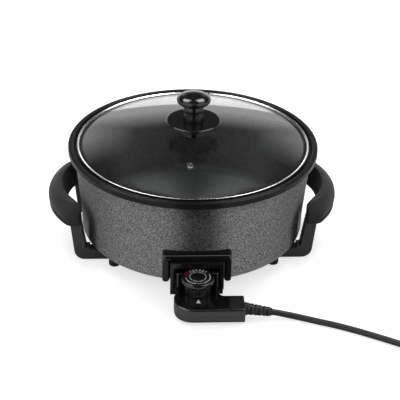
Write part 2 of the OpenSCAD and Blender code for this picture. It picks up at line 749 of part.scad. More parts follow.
module control_top() {
    color("#111112") difference() {
        union() {
            difference() {
                union() {
                    case_slab(0, split_z, case_top - 2);
                    case_slab(0.35, case_top - 2, case_top - 1);
                    case_slab(1, case_top - 1, case_top - 0.35);
                    case_slab(2, case_top - 0.35, case_top);
                }
                case_slab(case_t, split_z - eps, case_roof);
            }
            tower();
            for (p = screw_posts) translate([p[0], p[1], split_z]) cylinder(d = 6, h = case_roof - split_z + 0.5);
        }
        case_ways();
        for (p = screw_posts) translate([p[0], p[1], split_z - eps]) cylinder(d = 2.5 + 2 * run_fit, h = 7.5);
        translate([0, dial_y, case_roof - eps]) cylinder(d = bush_d + 2 * run_fit, h = case_t + 1);
    }
}

module control_bottom() {
    color("#151516") difference() {
        union() {
            difference() {
                case_slab(0, case_z, split_z);
                case_slab(case_t, case_floor, split_z + eps);
            }
            for (p = screw_posts) translate([p[0], p[1], case_z]) cylinder(d = 7, h = split_z - case_z);
        }
        case_ways();
        for (p = screw_posts) translate([p[0], p[1], case_z - eps]) {
            cylinder(d = 5.2, h = 2.4);
            cylinder(d = 3, h = 20);
        }
    }
}

module case_screws() {
    color("#9a9c9e") for (p = screw_posts)
        translate([p[0], p[1], case_z + 2.4 - eps]) screw(4.8, 1.9, 2.5, split_z - case_z - 2.4 + 7);
}

module sensor_tube() {
    color("#c9cbcd") translate([0, sleeve_y1 - block_t, pin_z]) rotate([-90, 0, 0]) {
        length = sensor_len + plate_y - sleeve_y1 + block_t;
        cylinder(d = sensor_d, h = length - sensor_d / 4);
        translate([0, 0, length - sensor_d / 4]) cylinder(d1 = sensor_d, d2 = sensor_d / 2, h = sensor_d / 4);
    }
}

module contact_sleeves() {
    color("#b08d3c") for (s = [-1, 1])
        translate([s * pin_pitch / 2, sleeve_y0, pin_z]) rotate([90, 0, 0]) difference() {
            cylinder(d = sleeve_d, h = sleeve_y0 - sleeve_y1);
            translate([0, 0, -eps]) cylinder(d = pin_d + 2 * clear, h = 30);
        }
}

module contact_block() {
    color("#8a6a4a") difference() {
        translate([-pin_pitch / 2 - 6, sleeve_y1 - block_t, case_floor])
            cube([pin_pitch + 12, block_t, pin_z - case_floor + sensor_d / 2 - 1.2]);
        translate([0, sleeve_y1 + eps, pin_z]) rotate([90, 0, 0]) cylinder(d = sensor_d + 2 * run_fit, h = 10);
    }
}

// Steel plate on the case floor with the post that carries the blade
module thermostat_frame() {
    plate_len = sleeve_y1 - block_t - blade_front;
    color("#a8aaac") {
        translate([-7, blade_front - 1, case_floor]) cube([14, plate_len, 1.2]);
        translate([-5, blade_front - 1, case_floor]) cube([10, 6, blade_z - case_floor - 0.05]);
    }
}

module fixed_contact() {
    color("#b08d3c") translate([0, dial_y - 7, case_floor + 1.2]) {
        cylinder(d = 5, h = blade_z - case_floor - 1.2 - 2.2);
        cylinder(d = 3.4, h = blade_z - case_floor - 1.2 - 1);
    }
}

module contact_blade() {
    color("#c2a35a") translate([-blade_w / 2, blade_front, blade_z])
        cube([blade_w, blade_back - blade_front, blade_t]);
}

module spindle_bush() {
    color("#b08d3c") translate([0, dial_y, 0]) difference() {
        union() {
            translate([0, 0, case_roof - 1.2]) cylinder(d = bush_d + 3, h = 1.2);
            translate([0, 0, case_roof - 1.2]) cylinder(d = bush_d, h = case_t + 2.4);
        }
        translate([0, 0, case_z]) cylinder(d = spindle_d + 2 * run_fit, h = 40);
    }
}

dial_r = dial_d / 2;
dial_foot_r = dial_r - 5;
dial_outline = [[0, dial_z + 2.6], [bush_d / 2 + 1, dial_z + 2.6], [bush_d / 2 + 1, dial_z],
    [dial_foot_r - 0.6, dial_z], [dial_foot_r, dial_z + 0.6], [dial_foot_r, dial_z + 10],
    [dial_foot_r + 1, dial_z + 11.5], [dial_r - 0.7, dial_top - 5.6], [dial_r, dial_top - 4.6],
    [dial_r, dial_top - 1], [dial_r - 0.8, dial_top], [dial_r - 1.6, dial_top],
    [dial_r - 1.6, dial_top - 0.6], [0, dial_top - 0.6]];

module dial_knob() {
    color("#141415") translate([0, dial_y, 0]) difference() {
        union() {
            rotate_extrude() polygon(dial_outline);
            for (i = [0:dial_ribs - 1])
                rotate([0, 0, 360 * i / dial_ribs]) translate([dial_foot_r, 0, dial_z + 1])
                    cylinder(d = 1.2, h = 9.6, $fn = 16);
        }
        translate([0, 0, dial_z]) cylinder(d = spindle_d + 2 * run_fit, h = dial_h - 5);
    }
}

module dial_plate() {
    color("#0c0c0c") translate([0, dial_y, dial_top - 0.6]) cylinder(r = dial_r - 1.6 - slip, h = 0.5);
}

module dial_spindle() {
    color("#b9bbbd") translate([0, dial_y, 0]) {
        translate([0, 0, tip_z]) cylinder(d = tip_d, h = case_roof - 2.2 - tip_z);
        translate([0, 0, case_roof - 2.2]) cylinder(d = spindle_d, h = dial_z + dial_h - 5.2 - case_roof + 2.2);
    }
}

// Bar over the lead inside the case, on two posts of the case floor
module cord_clamp() {
    color("#d8d4c8") translate([arm_reach - 17, lead_y, 0]) difference() {
        translate([-3, -clamp_w / 2, case_floor]) cube([6, clamp_w, lead_z - case_floor + cord_r]);
        translate([-10, 0, lead_z]) rotate([0, 90, 0]) cylinder(d = cord_d + 0.2, h = 20);
        for (s = [-1, 1]) translate([0, s * clamp_screw_y, case_floor - eps]) cylinder(d = 2.2, h = 20);
    }
}

module clamp_screws() {
    color("#9a9c9e") for (s = [-1, 1])
        translate([arm_reach - 17, lead_y + s * clamp_screw_y, lead_z + cord_r]) rotate([180, 0, 0])
            screw(4.2, 1.4, 2, lead_z + cord_r - case_floor - 0.4);
}

// Two cores of the lead inside the case: one goes to the near sleeve, one round the thermostat
module wire_leads() {
    start = [arm_reach - 9, lead_y, lead_z];
    stop = [0, sleeve_y1 - block_t, pin_z + 1];
    turn_y = plate_y - case_reach + 6.5;
    near = [start + [0, 1.7, 0], start + [-18, 1.7, 0], [21, lead_y + 8, lead_z], [17, stop[1] - 8, stop[2]],
        [pin_pitch / 2, stop[1] - 3, stop[2]], [pin_pitch / 2, stop[1], stop[2]]];
    far = [start + [0, -1.7, 0], start + [-22, -1.7, 0], [12, turn_y + 0.5, lead_z - 1], [-4, turn_y, lead_z - 1],
        [-13, turn_y + 7, lead_z - 1], [-15, lead_y + 10, lead_z - 1], [-pin_pitch / 2, stop[1] - 4, stop[2]],
        [-pin_pitch / 2, stop[1], stop[2]]];
    color("#7a4a2a") tube(near, 1.3, 8);
    color("#4a5a8a") tube(far, 1.3, 8);
}

module strain_relief() {
    rings = 6;
    step = relief_len / rings;
    function taper(x) = (relief_d - 0.8 + (relief_end_d - relief_d + 0.8) * x / relief_len) / 2;
    outline = concat(
        [[0, 0]],
        [for (i = [0:rings - 1]) each [[taper(i * step), i * step], [taper((i + 0.62) * step), (i + 0.62) * step],
            [taper((i + 0.62) * step) - 1.5, (i + 0.7) * step], [taper((i + 0.92) * step) - 1.5, (i + 0.92) * step]]],
        [[relief_end_d / 2, relief_len], [0, relief_len]]);
    color("#161617") {
        translate([arm_reach - 7, lead_y, lead_z]) rotate([0, 90, 0]) cylinder(d = relief_d - 2, h = 8);
        translate([arm_reach + eps, lead_y, lead_z]) rotate([0, 90, 0]) cylinder(d = relief_d, h = 2.6);
        translate([relief_root, lead_y, lead_z]) rotate([0, 90 + relief_droop, 0]) rotate_extrude() polygon(outline);
    }
}

// Centre line of the coil: it spirals in, climbs a layer in half a turn and spirals out again
function coil_point(t) = let (
    a = coil_start + 360 * t,
    r = coil_r - coil_pitch * (coil_turns / 2 - abs(t - coil_turns / 2)),
    z = coil_z + coil_layer * smooth((t - coil_turns / 2) * 2 + 0.5))
    [coil_x + r * cos(a), coil_y + r * sin(a), z];
coil_path = [for (i = [0:coil_steps]) coil_point(coil_turns * i / coil_steps)];
coil_in = coil_path[0] - cord_d * unit(coil_path[1] - coil_path[0]);
coil_out = coil_path[coil_steps] + cord_d * [0, 1, 0];
coil_gap = min([for (i = [0:coil_steps - 12], j = [i + 12:coil_steps]) norm(coil_path[i] - coil_path[j])]) - cord_d;
echo(str("least gap of the coil to itself: ", coil_gap, " mm"));

cord_path = concat(
    [relief_end, relief_end + cord_d * lead_run],
    route,
    [coil_in - cord_d * unit(coil_path[1] - coil_path[0]), coil_in]);
tail_path = [coil_out, coil_out + [0, cord_d, 0], [plug_x, (coil_out[1] + plug_y) / 2 + 3, plug_z - 2.4],
    [plug_x, plug_y - cord_d, plug_z], [plug_x, plug_y, plug_z]];

module power_cord() {
    color("#1a1a1a") tube(cord_path, cord_r, 10);
}

module cord_coil() {
    color("#1a1a1a") tube(concat([coil_in], coil_path, [coil_out]), cord_r, 6);
}

module cord_tail() {
    color("#1a1a1a") tube(tail_path, cord_r, 10);
}

// Flat band round the bundle of turns, on the side away from the control
module cord_tie() {
    tie_w = 9;
    tie_t = 0.9;
    inner = coil_r - coil_pitch * coil_turns / 2 - cord_r - 0.8;
    outer = coil_r + cord_r + 0.8;
    high = coil_z + coil_layer + cord_r + 0.6;
    color("#202020") translate([coil_x, coil_y - tie_w / 2, 0]) difference() {
        translate([inner - tie_t, 0, 0.2]) cube([outer - inner + 2 * tie_t, tie_w, high + tie_t - 0.2]);
        translate([inner, -1, 0.2 + tie_t]) cube([outer - inner, tie_w + 2, high - 0.2 - tie_t]);
    }
}

// Straight two-pin plug with earth clips at its sides, lying beside the coil
module plug_body() {
    face = plug_y + plug_neck + plug_len;
    color("#161617") difference() {
        translate([plug_x, plug_y, plug_z]) rotate([-90, 0, 0]) rotate_extrude() polygon(concat(
            [[0, 0], [relief_end_d / 2, 0], [relief_end_d / 2 + 2, plug_neck - 6], [relief_end_d / 2 + 4, plug_neck - 2]],
            [[plug_d / 2 - 5, plug_neck + 4], [plug_d / 2 - 3.5, plug_neck + plug_len - 14]],
            [[plug_d / 2, plug_neck + plug_len - 11], [plug_d / 2, plug_neck + plug_len - 1],
                [plug_d / 2 - 1, plug_neck + plug_len], [0, plug_neck + plug_len]]));
        for (s = [-1, 1]) {
            translate([plug_x, face - 16, plug_z + s * (plug_d / 2 + 3)]) translate([-5, 0, -5]) cube([10, 20, 10]);
            translate([plug_x + s * plug_pitch / 2, face - 8, plug_z]) rotate([-90, 0, 0])
                cylinder(d = plug_pin_d + 2 * run_fit, h = 10);
        }
    }
}

module plug_pins() {
    face = plug_y + plug_neck + plug_len;
    color("#c9cbcd") for (s = [-1, 1])
        translate([plug_x + s * plug_pitch / 2, face - 8, plug_z]) rotate([-90, 0, 0]) {
            cylinder(d = plug_pin_d, h = 8 + plug_pin_len - 1);
            translate([0, 0, 8 + plug_pin_len - 1]) cylinder(d1 = plug_pin_d, d2 = plug_pin_d - 2, h = 1);
        }
}

module earth_clips() {
    face = plug_y + plug_neck + plug_len;
    color("#b08d3c") for (s = [-1, 1])
        translate([plug_x - 3, face - 14, plug_z + s * (plug_d / 2 - 1.5) - 0.5]) cube([6, 13, 1]);
}

pan_body();
heating_element();
terminal_pins();
pin_insulators();
socket_collar();
socket_hood();
hood_screws();
socket_screws();
left_grip();
right_grip();
front_left_leg();
rear_left_leg();
front_right_leg();
rear_right_leg();
grip_screws();
leg_screws();
base_feet();
foot_screws();
lid_glass();
lid_rim();
vent_eyelet();
knob_guard();
lid_knob();
knob_insert();
knob_screw();
screw_washer();
upper_seal();
lower_seal();
control_top();
control_bottom();
case_screws();
sensor_tube();
contact_sleeves();
contact_block();
thermostat_frame();
fixed_contact();
contact_blade();
spindle_bush();
dial_knob();
dial_plate();
dial_spindle();
cord_clamp();
clamp_screws();
wire_leads();
strain_relief();
power_cord();
cord_coil();
cord_tail();
cord_tie();
plug_body();
plug_pins();
earth_clips();
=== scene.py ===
import math

import bmesh
import bpy
from mathutils import Matrix, Vector


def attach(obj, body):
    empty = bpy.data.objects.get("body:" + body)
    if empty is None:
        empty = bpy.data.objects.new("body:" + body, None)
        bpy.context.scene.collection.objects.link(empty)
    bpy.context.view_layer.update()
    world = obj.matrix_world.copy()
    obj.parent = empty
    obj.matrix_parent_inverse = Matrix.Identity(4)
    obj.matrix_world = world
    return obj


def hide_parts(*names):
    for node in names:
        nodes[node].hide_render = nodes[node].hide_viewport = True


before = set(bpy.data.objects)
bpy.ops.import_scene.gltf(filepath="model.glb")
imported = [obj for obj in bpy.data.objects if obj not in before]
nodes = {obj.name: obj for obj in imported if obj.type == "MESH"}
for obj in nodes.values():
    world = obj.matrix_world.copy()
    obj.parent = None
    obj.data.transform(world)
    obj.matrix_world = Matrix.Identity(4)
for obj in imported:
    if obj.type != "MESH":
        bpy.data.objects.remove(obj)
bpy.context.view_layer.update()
scene = bpy.context.scene

# pieces are drawn in millimetres: upright, or as seen from the front with y up and z to the viewer
mm = 0.001
toMetres = Matrix.Scale(mm, 4)
facing = toMetres @ Matrix(((1, 0, 0, 0), (0, 0, -1, 0), (0, 1, 0, 0), (0, 0, 0, 1)))


def addObject(name, data):
    obj = bpy.data.objects.new(name, data)
    scene.collection.objects.link(obj)
    return obj


# camera at the photograph's viewing angle
cameraSet = {"distance": 1.5136, "azimuth": -3.3, "elevation": 30.234, "roll": 1.2,
             "across": 0.01028, "rise": -0.07353, "aim": 0.136, "lens": 108, "sensor": 36}


def placeCamera(look):
    turn, lift, roll = (math.radians(look[key]) for key in ("azimuth", "elevation", "roll"))
    back = Vector((math.sin(turn) * math.cos(lift), -math.cos(turn) * math.cos(lift), math.sin(lift)))
    right = Vector((math.cos(turn), math.sin(turn), 0))
    up = back.cross(right)
    place = back * look["distance"] + right * look["across"] + up * look["rise"]
    side = right * math.cos(roll) + up * math.sin(roll)
    head = up * math.cos(roll) - right * math.sin(roll)
    data = bpy.data.cameras.new("camera")
    data.sensor_fit = "HORIZONTAL"
    data.sensor_width = look["sensor"]
    data.lens = look["lens"]
    obj = addObject("camera", data)
    obj.matrix_world = Matrix((side, head, back)).transposed().to_4x4()
    obj.location = place + Vector((0, 0, look["aim"]))
    scene.camera = obj


placeCamera(cameraSet)
print("camera placed")


# outlines: a corner is x, y and, where it is rounded, its radius
def roundCorners(corners, steps=6):
    path = []
    for i, corner in enumerate(corners):
        here = Vector(corner[:2])
        radius = corner[2] if len(corner) > 2 else 0
        if radius == 0:
            path.append(tuple(here))
            continue
        before = (Vector(corners[i - 1][:2]) - here).normalized()
        after = (Vector(corners[(i + 1) % len(corners)][:2]) - here).normalized()
        half = before.angle(after) / 2
        cut = radius / math.tan(half)
        centre = here + (before + after).normalized() * radius / math.sin(half)
        first = here + before * cut - centre
        last = here + after * cut - centre
        sweep = first.angle(last)
        for k in range(steps + 1):
            t = k / steps
            spoke = (first * math.sin((1 - t) * sweep) + last * math.sin(t * sweep)) / math.sin(sweep)
            path.append(tuple(centre + spoke))
    return path


def arcPoints(centre, radius, start, end, steps=8):
    angles = [math.radians(start + (end - start) * k / steps) for k in range(steps + 1)]
    return [(centre[0] + radius * math.cos(a), centre[1] + radius * math.sin(a)) for a in angles]


# mesh helpers
def solidMesh(name, bm):
    bmesh.ops.recalc_face_normals(bm, faces=bm.faces)
    mesh = bpy.data.meshes.new(name)
    bm.to_mesh(mesh)
    bm.free()
    return mesh


def carve(obj, cutter):
    tool = addObject("cutter", solidMesh("cutter", cutter))
    cut = obj.modifiers.new("cut", "BOOLEAN")
    cut.object = tool
    cut.solver = "EXACT"
    graph = bpy.context.evaluated_depsgraph_get()
    shape = bpy.data.meshes.new_from_object(obj.evaluated_get(graph))
    plain = obj.data
    obj.modifiers.clear()
    obj.data = shape
    bpy.data.meshes.remove(plain)
    bpy.data.meshes.remove(tool.data)


def softEdges(obj, width, segments, angle=40):
    bevel = obj.modifiers.new("edges", "BEVEL")
    bevel.width = width * mm
    bevel.segments = segments
    bevel.limit_method = "ANGLE"
    bevel.angle_limit = math.radians(angle)
    bevel.use_clamp_overlap = False


def addPiece(name, bm, material, body, replaced=(), sharp=32, cutter=None, edge=None):
    obj = addObject(name, solidMesh(name, bm))
    if cutter:
        carve(obj, cutter)
    for face in obj.data.polygons:
        face.use_smooth = True
    obj.data.set_sharp_from_angle(angle=math.radians(sharp))
    obj.data.materials.clear()
    obj.data.materials.append(material)
    if edge:
        softEdges(obj, *edge)
    evenNormals = obj.modifiers.new("normals", "WEIGHTED_NORMAL")
    evenNormals.keep_sharp = True
    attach(obj, body)
    if replaced:
        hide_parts(*replaced)
    return obj


def joinRings(bm, rings):
    # a ring of one point closes to a tip
    for low, high in zip(rings, rings[1:]):
        for k in range(max(len(low), len(high))):
            quad = [low[k % len(low)], low[(k + 1) % len(low)],
                    high[(k + 1) % len(high)], high[k % len(high)]]
            corners = list(dict.fromkeys(quad))
            if len(corners) > 2:
                bm.faces.new(corners)


def lathe(bm, profile, place, steps, closed=False, ripple=None):
    rings = []
    for radius, height in profile:
        ring = []
        for k in range(steps if radius > 0 else 1):
            angle = 2 * math.pi * k / steps
            reach = radius + (ripple(angle, radius, height) if ripple else 0)
            point = Vector((reach * math.cos(angle), reach * math.sin(angle), height))
            ring.append(bm.verts.new(place @ point))
        rings.append(ring)
    joinRings(bm, rings + rings[:1] if closed else rings)


def loft(bm, rings):
    loops = [[bm.verts.new(point) for point in ring] for ring in rings]
    joinRings(bm, loops)
    bm.faces.new(loops[0])
    bm.faces.new(loops[-1])


def prism(bm, outline, low, high, place):
    loft(bm, [[place @ Vector((x, y, z)) for x, y in outline] for z in (low, high)])


def block(bm, low, high):
    (x0, y0, z0), (x1, y1, z1) = low, high
    prism(bm, [(x0, y0), (x1, y0), (x1, y1), (x0, y1)], z0, z1, toMetres)


def rod(bm, start, end, radius, steps=32):
    start, end = Vector(start), Vector(end)
    turn = (end - start).to_track_quat("Z", "Y").to_matrix().to_4x4()
    length = (end - start).length
    profile = [(0, 0), (radius, 0), (radius, length), (0, length)]
    lathe(bm, profile, toMetres @ Matrix.Translation(start) @ turn, steps)


def tubeCurve(name, diameter, roundness, material):
    data = bpy.data.curves.new(name, "CURVE")
    data.dimensions = "3D"
    data.bevel_depth = diameter / 2 * mm
    data.bevel_resolution = roundness
    data.use_fill_caps = True
    data.materials.append(material)
    return data


# node helpers: a socket takes a fixed value or the output of another node
def feed(tree, socket, value):
    if isinstance(value, bpy.types.NodeSocket):
        tree.links.new(value, socket)
    else:
        socket.default_value = value


def toColor(value):
    return (*value, 1) if isinstance(value, tuple) else (value, value, value, 1)


def mathNode(tree, kind, first, second=0):
    node = tree.nodes.new("ShaderNodeMath")
    node.operation = kind
    feed(tree, node.inputs[0], first)
    feed(tree, node.inputs[1], second)
    return node.outputs[0]


def mixNode(tree, kind, factor, first, second):
    node = tree.nodes.new("ShaderNodeMix")
    node.data_type = kind
    for label, value in (("Factor", factor), ("A", first), ("B", second)):
        feed(tree, node.inputs[label], value)
    return node.outputs["Result"]


def toned(tree, value, stops):
    node = tree.nodes.new("ShaderNodeValToRGB")
    marks = node.color_ramp.elements
    while len(marks) < len(stops):
        marks.new(0.5)
    for mark, (where, tone) in zip(marks, stops):
        mark.position = where
        mark.color = toColor(tone)
    tree.links.new(value, node.inputs["Fac"])
    return node.outputs["Color"]


def splitPlace(tree, place):
    split = tree.nodes.new("ShaderNodeSeparateXYZ")
    tree.links.new(place, split.inputs[0])
    return split.outputs


def newMaterial(name):
    material = bpy.data.materials.new(name)
    material.use_nodes = True
    return material, material.node_tree, material.node_tree.nodes["Principled BSDF"]


# fine grain of moulded and metal surfaces, and how far it varies their tint and roughness
grainSet = {"detail": 3, "height": 0.0003, "stops": (0.3, 0.7), "tint": (0.8, 1.2), "rough": (0.88, 1.12)}


def makeGrain():
    group = bpy.data.node_groups.new("mouldGrain", "ShaderNodeTree")
    for label, value in (("Scale", 900), ("Depth", 0.2)):
        socket = group.interface.new_socket(label, in_out="INPUT", socket_type="NodeSocketFloat")
        socket.default_value = value
    for label, kind in (("Variation", "NodeSocketFloat"), ("Normal", "NodeSocketVector")):
        group.interface.new_socket(label, in_out="OUTPUT", socket_type=kind)
    into = group.nodes.new("NodeGroupInput")
    out = group.nodes.new("NodeGroupOutput")
    place = group.nodes.new("ShaderNodeTexCoord")
    noise = group.nodes.new("ShaderNodeTexNoise")
    noise.inputs["Detail"].default_value = grainSet["detail"]
    bump = group.nodes.new("ShaderNodeBump")
    bump.inputs["Distance"].default_value = grainSet["height"]
    link = group.links.new
    link(place.outputs["Object"], noise.inputs["Vector"])
    link(into.outputs["Scale"], noise.inputs["Scale"])
    link(noise.outputs["Fac"], bump.inputs["Height"])
    link(into.outputs["Depth"], bump.inputs["Strength"])
    link(noise.outputs["Fac"], out.inputs["Variation"])
    link(bump.outputs["Normal"], out.inputs["Normal"])
    return group


grainGroup = makeGrain()


def plainMaterial(name, look):
    material, tree, shader = newMaterial(name)
    grain = tree.nodes.new("ShaderNodeGroup")
    grain.node_tree = grainGroup
    grain.inputs["Scale"].default_value = look["scale"]
    grain.inputs["Depth"].default_value = look["depth"]
    variation = grain.outputs["Variation"]
    tint = [tuple(share * c for c in look["color"]) for share in grainSet["tint"]]
    rough = [share * look["rough"] for share in grainSet["rough"]]
    for label, tones in (("Base Color", tint), ("Roughness", rough)):
        stops = list(zip(grainSet["stops"], tones))
        tree.links.new(toned(tree, variation, stops), shader.inputs[label])
    tree.links.new(grain.outputs["Normal"], shader.inputs["Normal"])
    shader.inputs["Metallic"].default_value = look.get("metal", 0)
    shader.inputs["Specular IOR Level"].default_value = look.get("specular", 0.5)
    return material


def speckledCoat(name, look):
    material, tree, shader = newMaterial(name)
    link = tree.links.new
    place = tree.nodes.new("ShaderNodeTexCoord").outputs["Object"]
    x, y, height = splitPlace(tree, place)
    squares = [mathNode(tree, "POWER", side, 2) for side in (x, y)]
    across = mathNode(tree, "SQRT", mathNode(tree, "ADD", *squares))
    # cooking side: nearer the axis than the middle of the wall, and above the floor plate
    lean = mathNode(tree, "SUBTRACT", across, mathNode(tree, "MULTIPLY", height, look["lean"]))
    within = mathNode(tree, "LESS_THAN", lean, look["wallMiddle"])
    inside = mathNode(tree, "MULTIPLY", within, mathNode(tree, "GREATER_THAN", height, look["floor"]))
    flange = mathNode(tree, "GREATER_THAN", height, look["flange"])
    noise = tree.nodes.new("ShaderNodeTexNoise")
    noise.inputs["Scale"].default_value = look["speck"]
    noise.inputs["Detail"].default_value = look["detail"]
    noise.inputs["Roughness"].default_value = look["fine"]
    link(place, noise.inputs["Vector"])
    speck = noise.outputs["Fac"]
    coated, lining = (toned(tree, speck, look[key]) for key in ("coat", "lining"))
    color = mixNode(tree, "RGBA", inside, coated, lining)
    color = mixNode(tree, "RGBA", flange, color, toColor(look["flangeColor"]))
    link(color, shader.inputs["Base Color"])
    for label, wall, rim in (("Roughness", "rough", "flangeRough"), ("Metallic", "metal", "flangeMetal")):
        value = mixNode(tree, "RGBA", flange, toColor(look[wall]), toColor(look[rim]))
        link(value, shader.inputs[label])
    shader.inputs["Specular IOR Level"].default_value = look["specular"]
    shader.inputs["Specular Tint"].default_value = toColor(look["edgeTint"])
    # turned metal under the coat draws reflections out upright
    shader.inputs["Anisotropic"].default_value = look["turned"]
    shader.inputs["Anisotropic Rotation"].default_value = look["turnedAngle"]
    around = tree.nodes.new("ShaderNodeTangent")
    around.direction_type = "RADIAL"
    around.axis = "Z"
    link(around.outputs["Tangent"], shader.inputs["Tangent"])
    bump = tree.nodes.new("ShaderNodeBump")
    bump.inputs["Distance"].default_value = look["relief"]
    bump.inputs["Strength"].default_value = look["depth"]
    offFlange = mathNode(tree, "SUBTRACT", 1, flange)
    link(mathNode(tree, "MULTIPLY", speck, offFlange), bump.inputs["Height"])
    link(bump.outputs["Normal"], shader.inputs["Normal"])
    return material


def clearGlass(name, look):
    material, tree, shader = newMaterial(name)
    shader.inputs["Base Color"].default_value = toColor(look["color"])
    shader.inputs["Transmission Weight"].default_value = 1
    shader.inputs["Roughness"].default_value = look["rough"]
    shader.inputs["IOR"].default_value = look["ior"]
    clear = tree.nodes.new("ShaderNodeBsdfTransparent")
    clear.inputs["Color"].default_value = toColor(look["shadow"])
    path = tree.nodes.new("ShaderNodeLightPath")
    mix = tree.nodes.new("ShaderNodeMixShader")
    link = tree.links.new
    link(path.outputs["Is Shadow Ray"], mix.inputs[0])
    link(shader.outputs[0], mix.inputs[1])
    link(clear.outputs[0], mix.inputs[2])
    link(mix.outputs[0], tree.nodes["Material Output"].inputs["Surface"])
    return material


# finishes: tones go by the speckle, lengths in the coat are metres
coat = speckledCoat("speckledCoat", {
    "speck": 720, "detail": 2.5, "fine": 0.6, "depth": 0.4, "relief": 0.0001,
    "coat": [(0.34, 0.08), (0.5, 0.24), (0.66, 0.5)], "rough": 0.55, "metal": 0.95,
    "specular": 0.2, "edgeTint": 0.95, "turned": 1.0, "turnedAngle": 0.25,
    "lining": [(0.34, 0.04), (0.66, 0.1)], "lean": 0.0883, "wallMiddle": 0.1368, "floor": 0.0202,
    "flange": 0.1284, "flangeColor": 0.007, "flangeRough": 0.24, "flangeMetal": 0})
charcoal = plainMaterial("charcoalPlastic", {
    "color": (0.016, 0.016, 0.017), "rough": 0.5, "specular": 0.3, "scale": 1400, "depth": 0.35})
# painted light: the legs take a lighter copy of the grips' charcoal plastic, which stands in for light they
# would otherwise lack
paintedLightLegPlastic = plainMaterial("paintedLightLegPlastic", {
    "color": (0.026, 0.026, 0.027), "rough": 0.46, "scale": 1400, "depth": 0.3})
gloss = plainMaterial("glossBlack", {
    "color": (0.006, 0.006, 0.0065), "rough": 0.13, "scale": 260, "depth": 0.02})
caseBlack = plainMaterial("caseBlack", {
    "color": (0.004, 0.004, 0.0045), "rough": 0.14, "specular": 0.9, "scale": 260, "depth": 0.02})
satin = plainMaterial("satinBlack", {
    "color": (0.008, 0.008, 0.0085), "rough": 0.3, "scale": 700, "depth": 0.08})
rubber = plainMaterial("blackRubber", {
    "color": (0.006, 0.006, 0.006), "rough": 0.42, "scale": 1100, "depth": 0.2})
rimSteel = plainMaterial("rimSteel", {
    "color": (0.75, 0.76, 0.77), "rough": 0.16, "metal": 1, "scale": 500, "depth": 0.03})
screwSteel = plainMaterial("screwSteel", {
    "color": (0.5, 0.5, 0.51), "rough": 0.32, "metal": 1, "scale": 900, "depth": 0.1})
tubeSteel = plainMaterial("tubeSteel", {
    "color": (0.24, 0.23, 0.22), "rough": 0.5, "metal": 1, "scale": 600, "depth": 0.25})
brass = plainMaterial("brass", {
    "color": (0.65, 0.5, 0.2), "rough": 0.28, "metal": 1, "scale": 700, "depth": 0.08})
ceramic = plainMaterial("ceramic", {
    "color": (0.75, 0.72, 0.66), "rough": 0.6, "scale": 500, "depth": 0.15})
wireCover = plainMaterial("wireCover", {
    "color": (0.22, 0.1, 0.05), "rough": 0.4, "scale": 900, "depth": 0.05})
whitePrint = plainMaterial("whitePrint", {
    "color": (0.82, 0.82, 0.82), "rough": 0.5, "scale": 2500, "depth": 0.05})
redPrint = plainMaterial("redPrint", {
    "color": (0.11, 0.006, 0.016), "rough": 0.5, "scale": 2500, "depth": 0.05})
glass = clearGlass("lidGlass", {
    "color": (0.97, 0.985, 0.985), "rough": 0.02, "ior": 1.5, "shadow": (0.86, 0.88, 0.88)})
print("materials made")

# mains lead: route as in the solid model, with its coil and tail
leadSet = {"diameter": 7.5, "bed": 1.4, "droop": 10, "exit": (86.04, -191.79, 8.79)}
leadRoute = [(102, -193, 6.2), (113, -195.5, 5), (126, -200, 4.4), (141, -206, 4.2), (158, -213, 4.2),
             (176, -221.5, 4.2), (194, -231, 4.2), (212, -241.5, 4.4), (229, -252, 4.7), (246, -262, 5)]
coilSet = {"centre": (294, -232), "radius": 49, "pitch": 8.3, "start": 240, "layer": 8.1,
           "fullTurns": 3, "steps": 24}
plugSet = {"away": 46, "height": 18.7, "sagPast": 3, "sag": 2.4}
plugPlace = (coilSet["centre"][0] + coilSet["radius"], coilSet["centre"][1] + plugSet["away"],
             plugSet["height"])


def coilPoints(coil, lead):
    # inwards on the lower layer, outwards on the upper one
    turns = coil["fullTurns"] + (360 - coil["start"]) / 360
    steps = round(coil["steps"] * turns)
    points = []
    for i in range(steps + 1):
        t = turns * i / steps
        angle = math.radians(coil["start"] + 360 * t)
        radius = coil["radius"] - coil["pitch"] * (turns / 2 - abs(t - turns / 2))
        climb = min(1, max(0, (t - turns / 2) * 2 + 0.5))
        height = lead["bed"] + lead["diameter"] / 2 + coil["layer"] * climb * climb * (3 - 2 * climb)
        points.append(Vector((coil["centre"][0] + radius * math.cos(angle),
                              coil["centre"][1] + radius * math.sin(angle), height)))
    return points


def leadPath():
    d = leadSet["diameter"]
    droop = math.radians(leadSet["droop"])
    start = Vector(leadSet["exit"])
    coil = coilPoints(coilSet, leadSet)
    inward = (coil[1] - coil[0]).normalized() * d
    leave = coil[-1] + Vector((0, d, 0))
    plug = Vector(plugPlace)
    half = Vector((plug.x, (leave.y + plug.y) / 2 + plugSet["sagPast"], plug.z - plugSet["sag"]))
    return ([start, start + Vector((math.cos(droop), 0, -math.sin(droop))) * d]
            + [Vector(p) for p in leadRoute]
            + [coil[0] - 2 * inward, coil[0] - inward] + coil
            + [leave, leave + Vector((0, d, 0)), half, plug - Vector((0, d, 0)), plug])


# strain relief: ridges and grooves by their share of a step, and the stem that is held in the case
reliefSet = {"root": (56.5, -191.79, 14), "droop": 10, "length": 30, "start": 14.6, "end": 11, "rings": 6,
             "ridge": [(0, 0.35), (0.08, 0.08), (0.3, 0), (0.55, 0.08), (0.63, 0.4)],
             "groove": 2.1, "grooveAt": [0.7, 0.9, 0.98], "gap": (0.66, 0.99), "bridge": 0.25,
             "lip": 0.4, "sunk": 0.5,
             "stem": [(0, -9), (6.7, -9), (6.7, -1.9), (7.4, -1.9), (7.7, -1.6), (7.7, 0.3), (7.4, 0.6),
                      (0, 0.6)]}


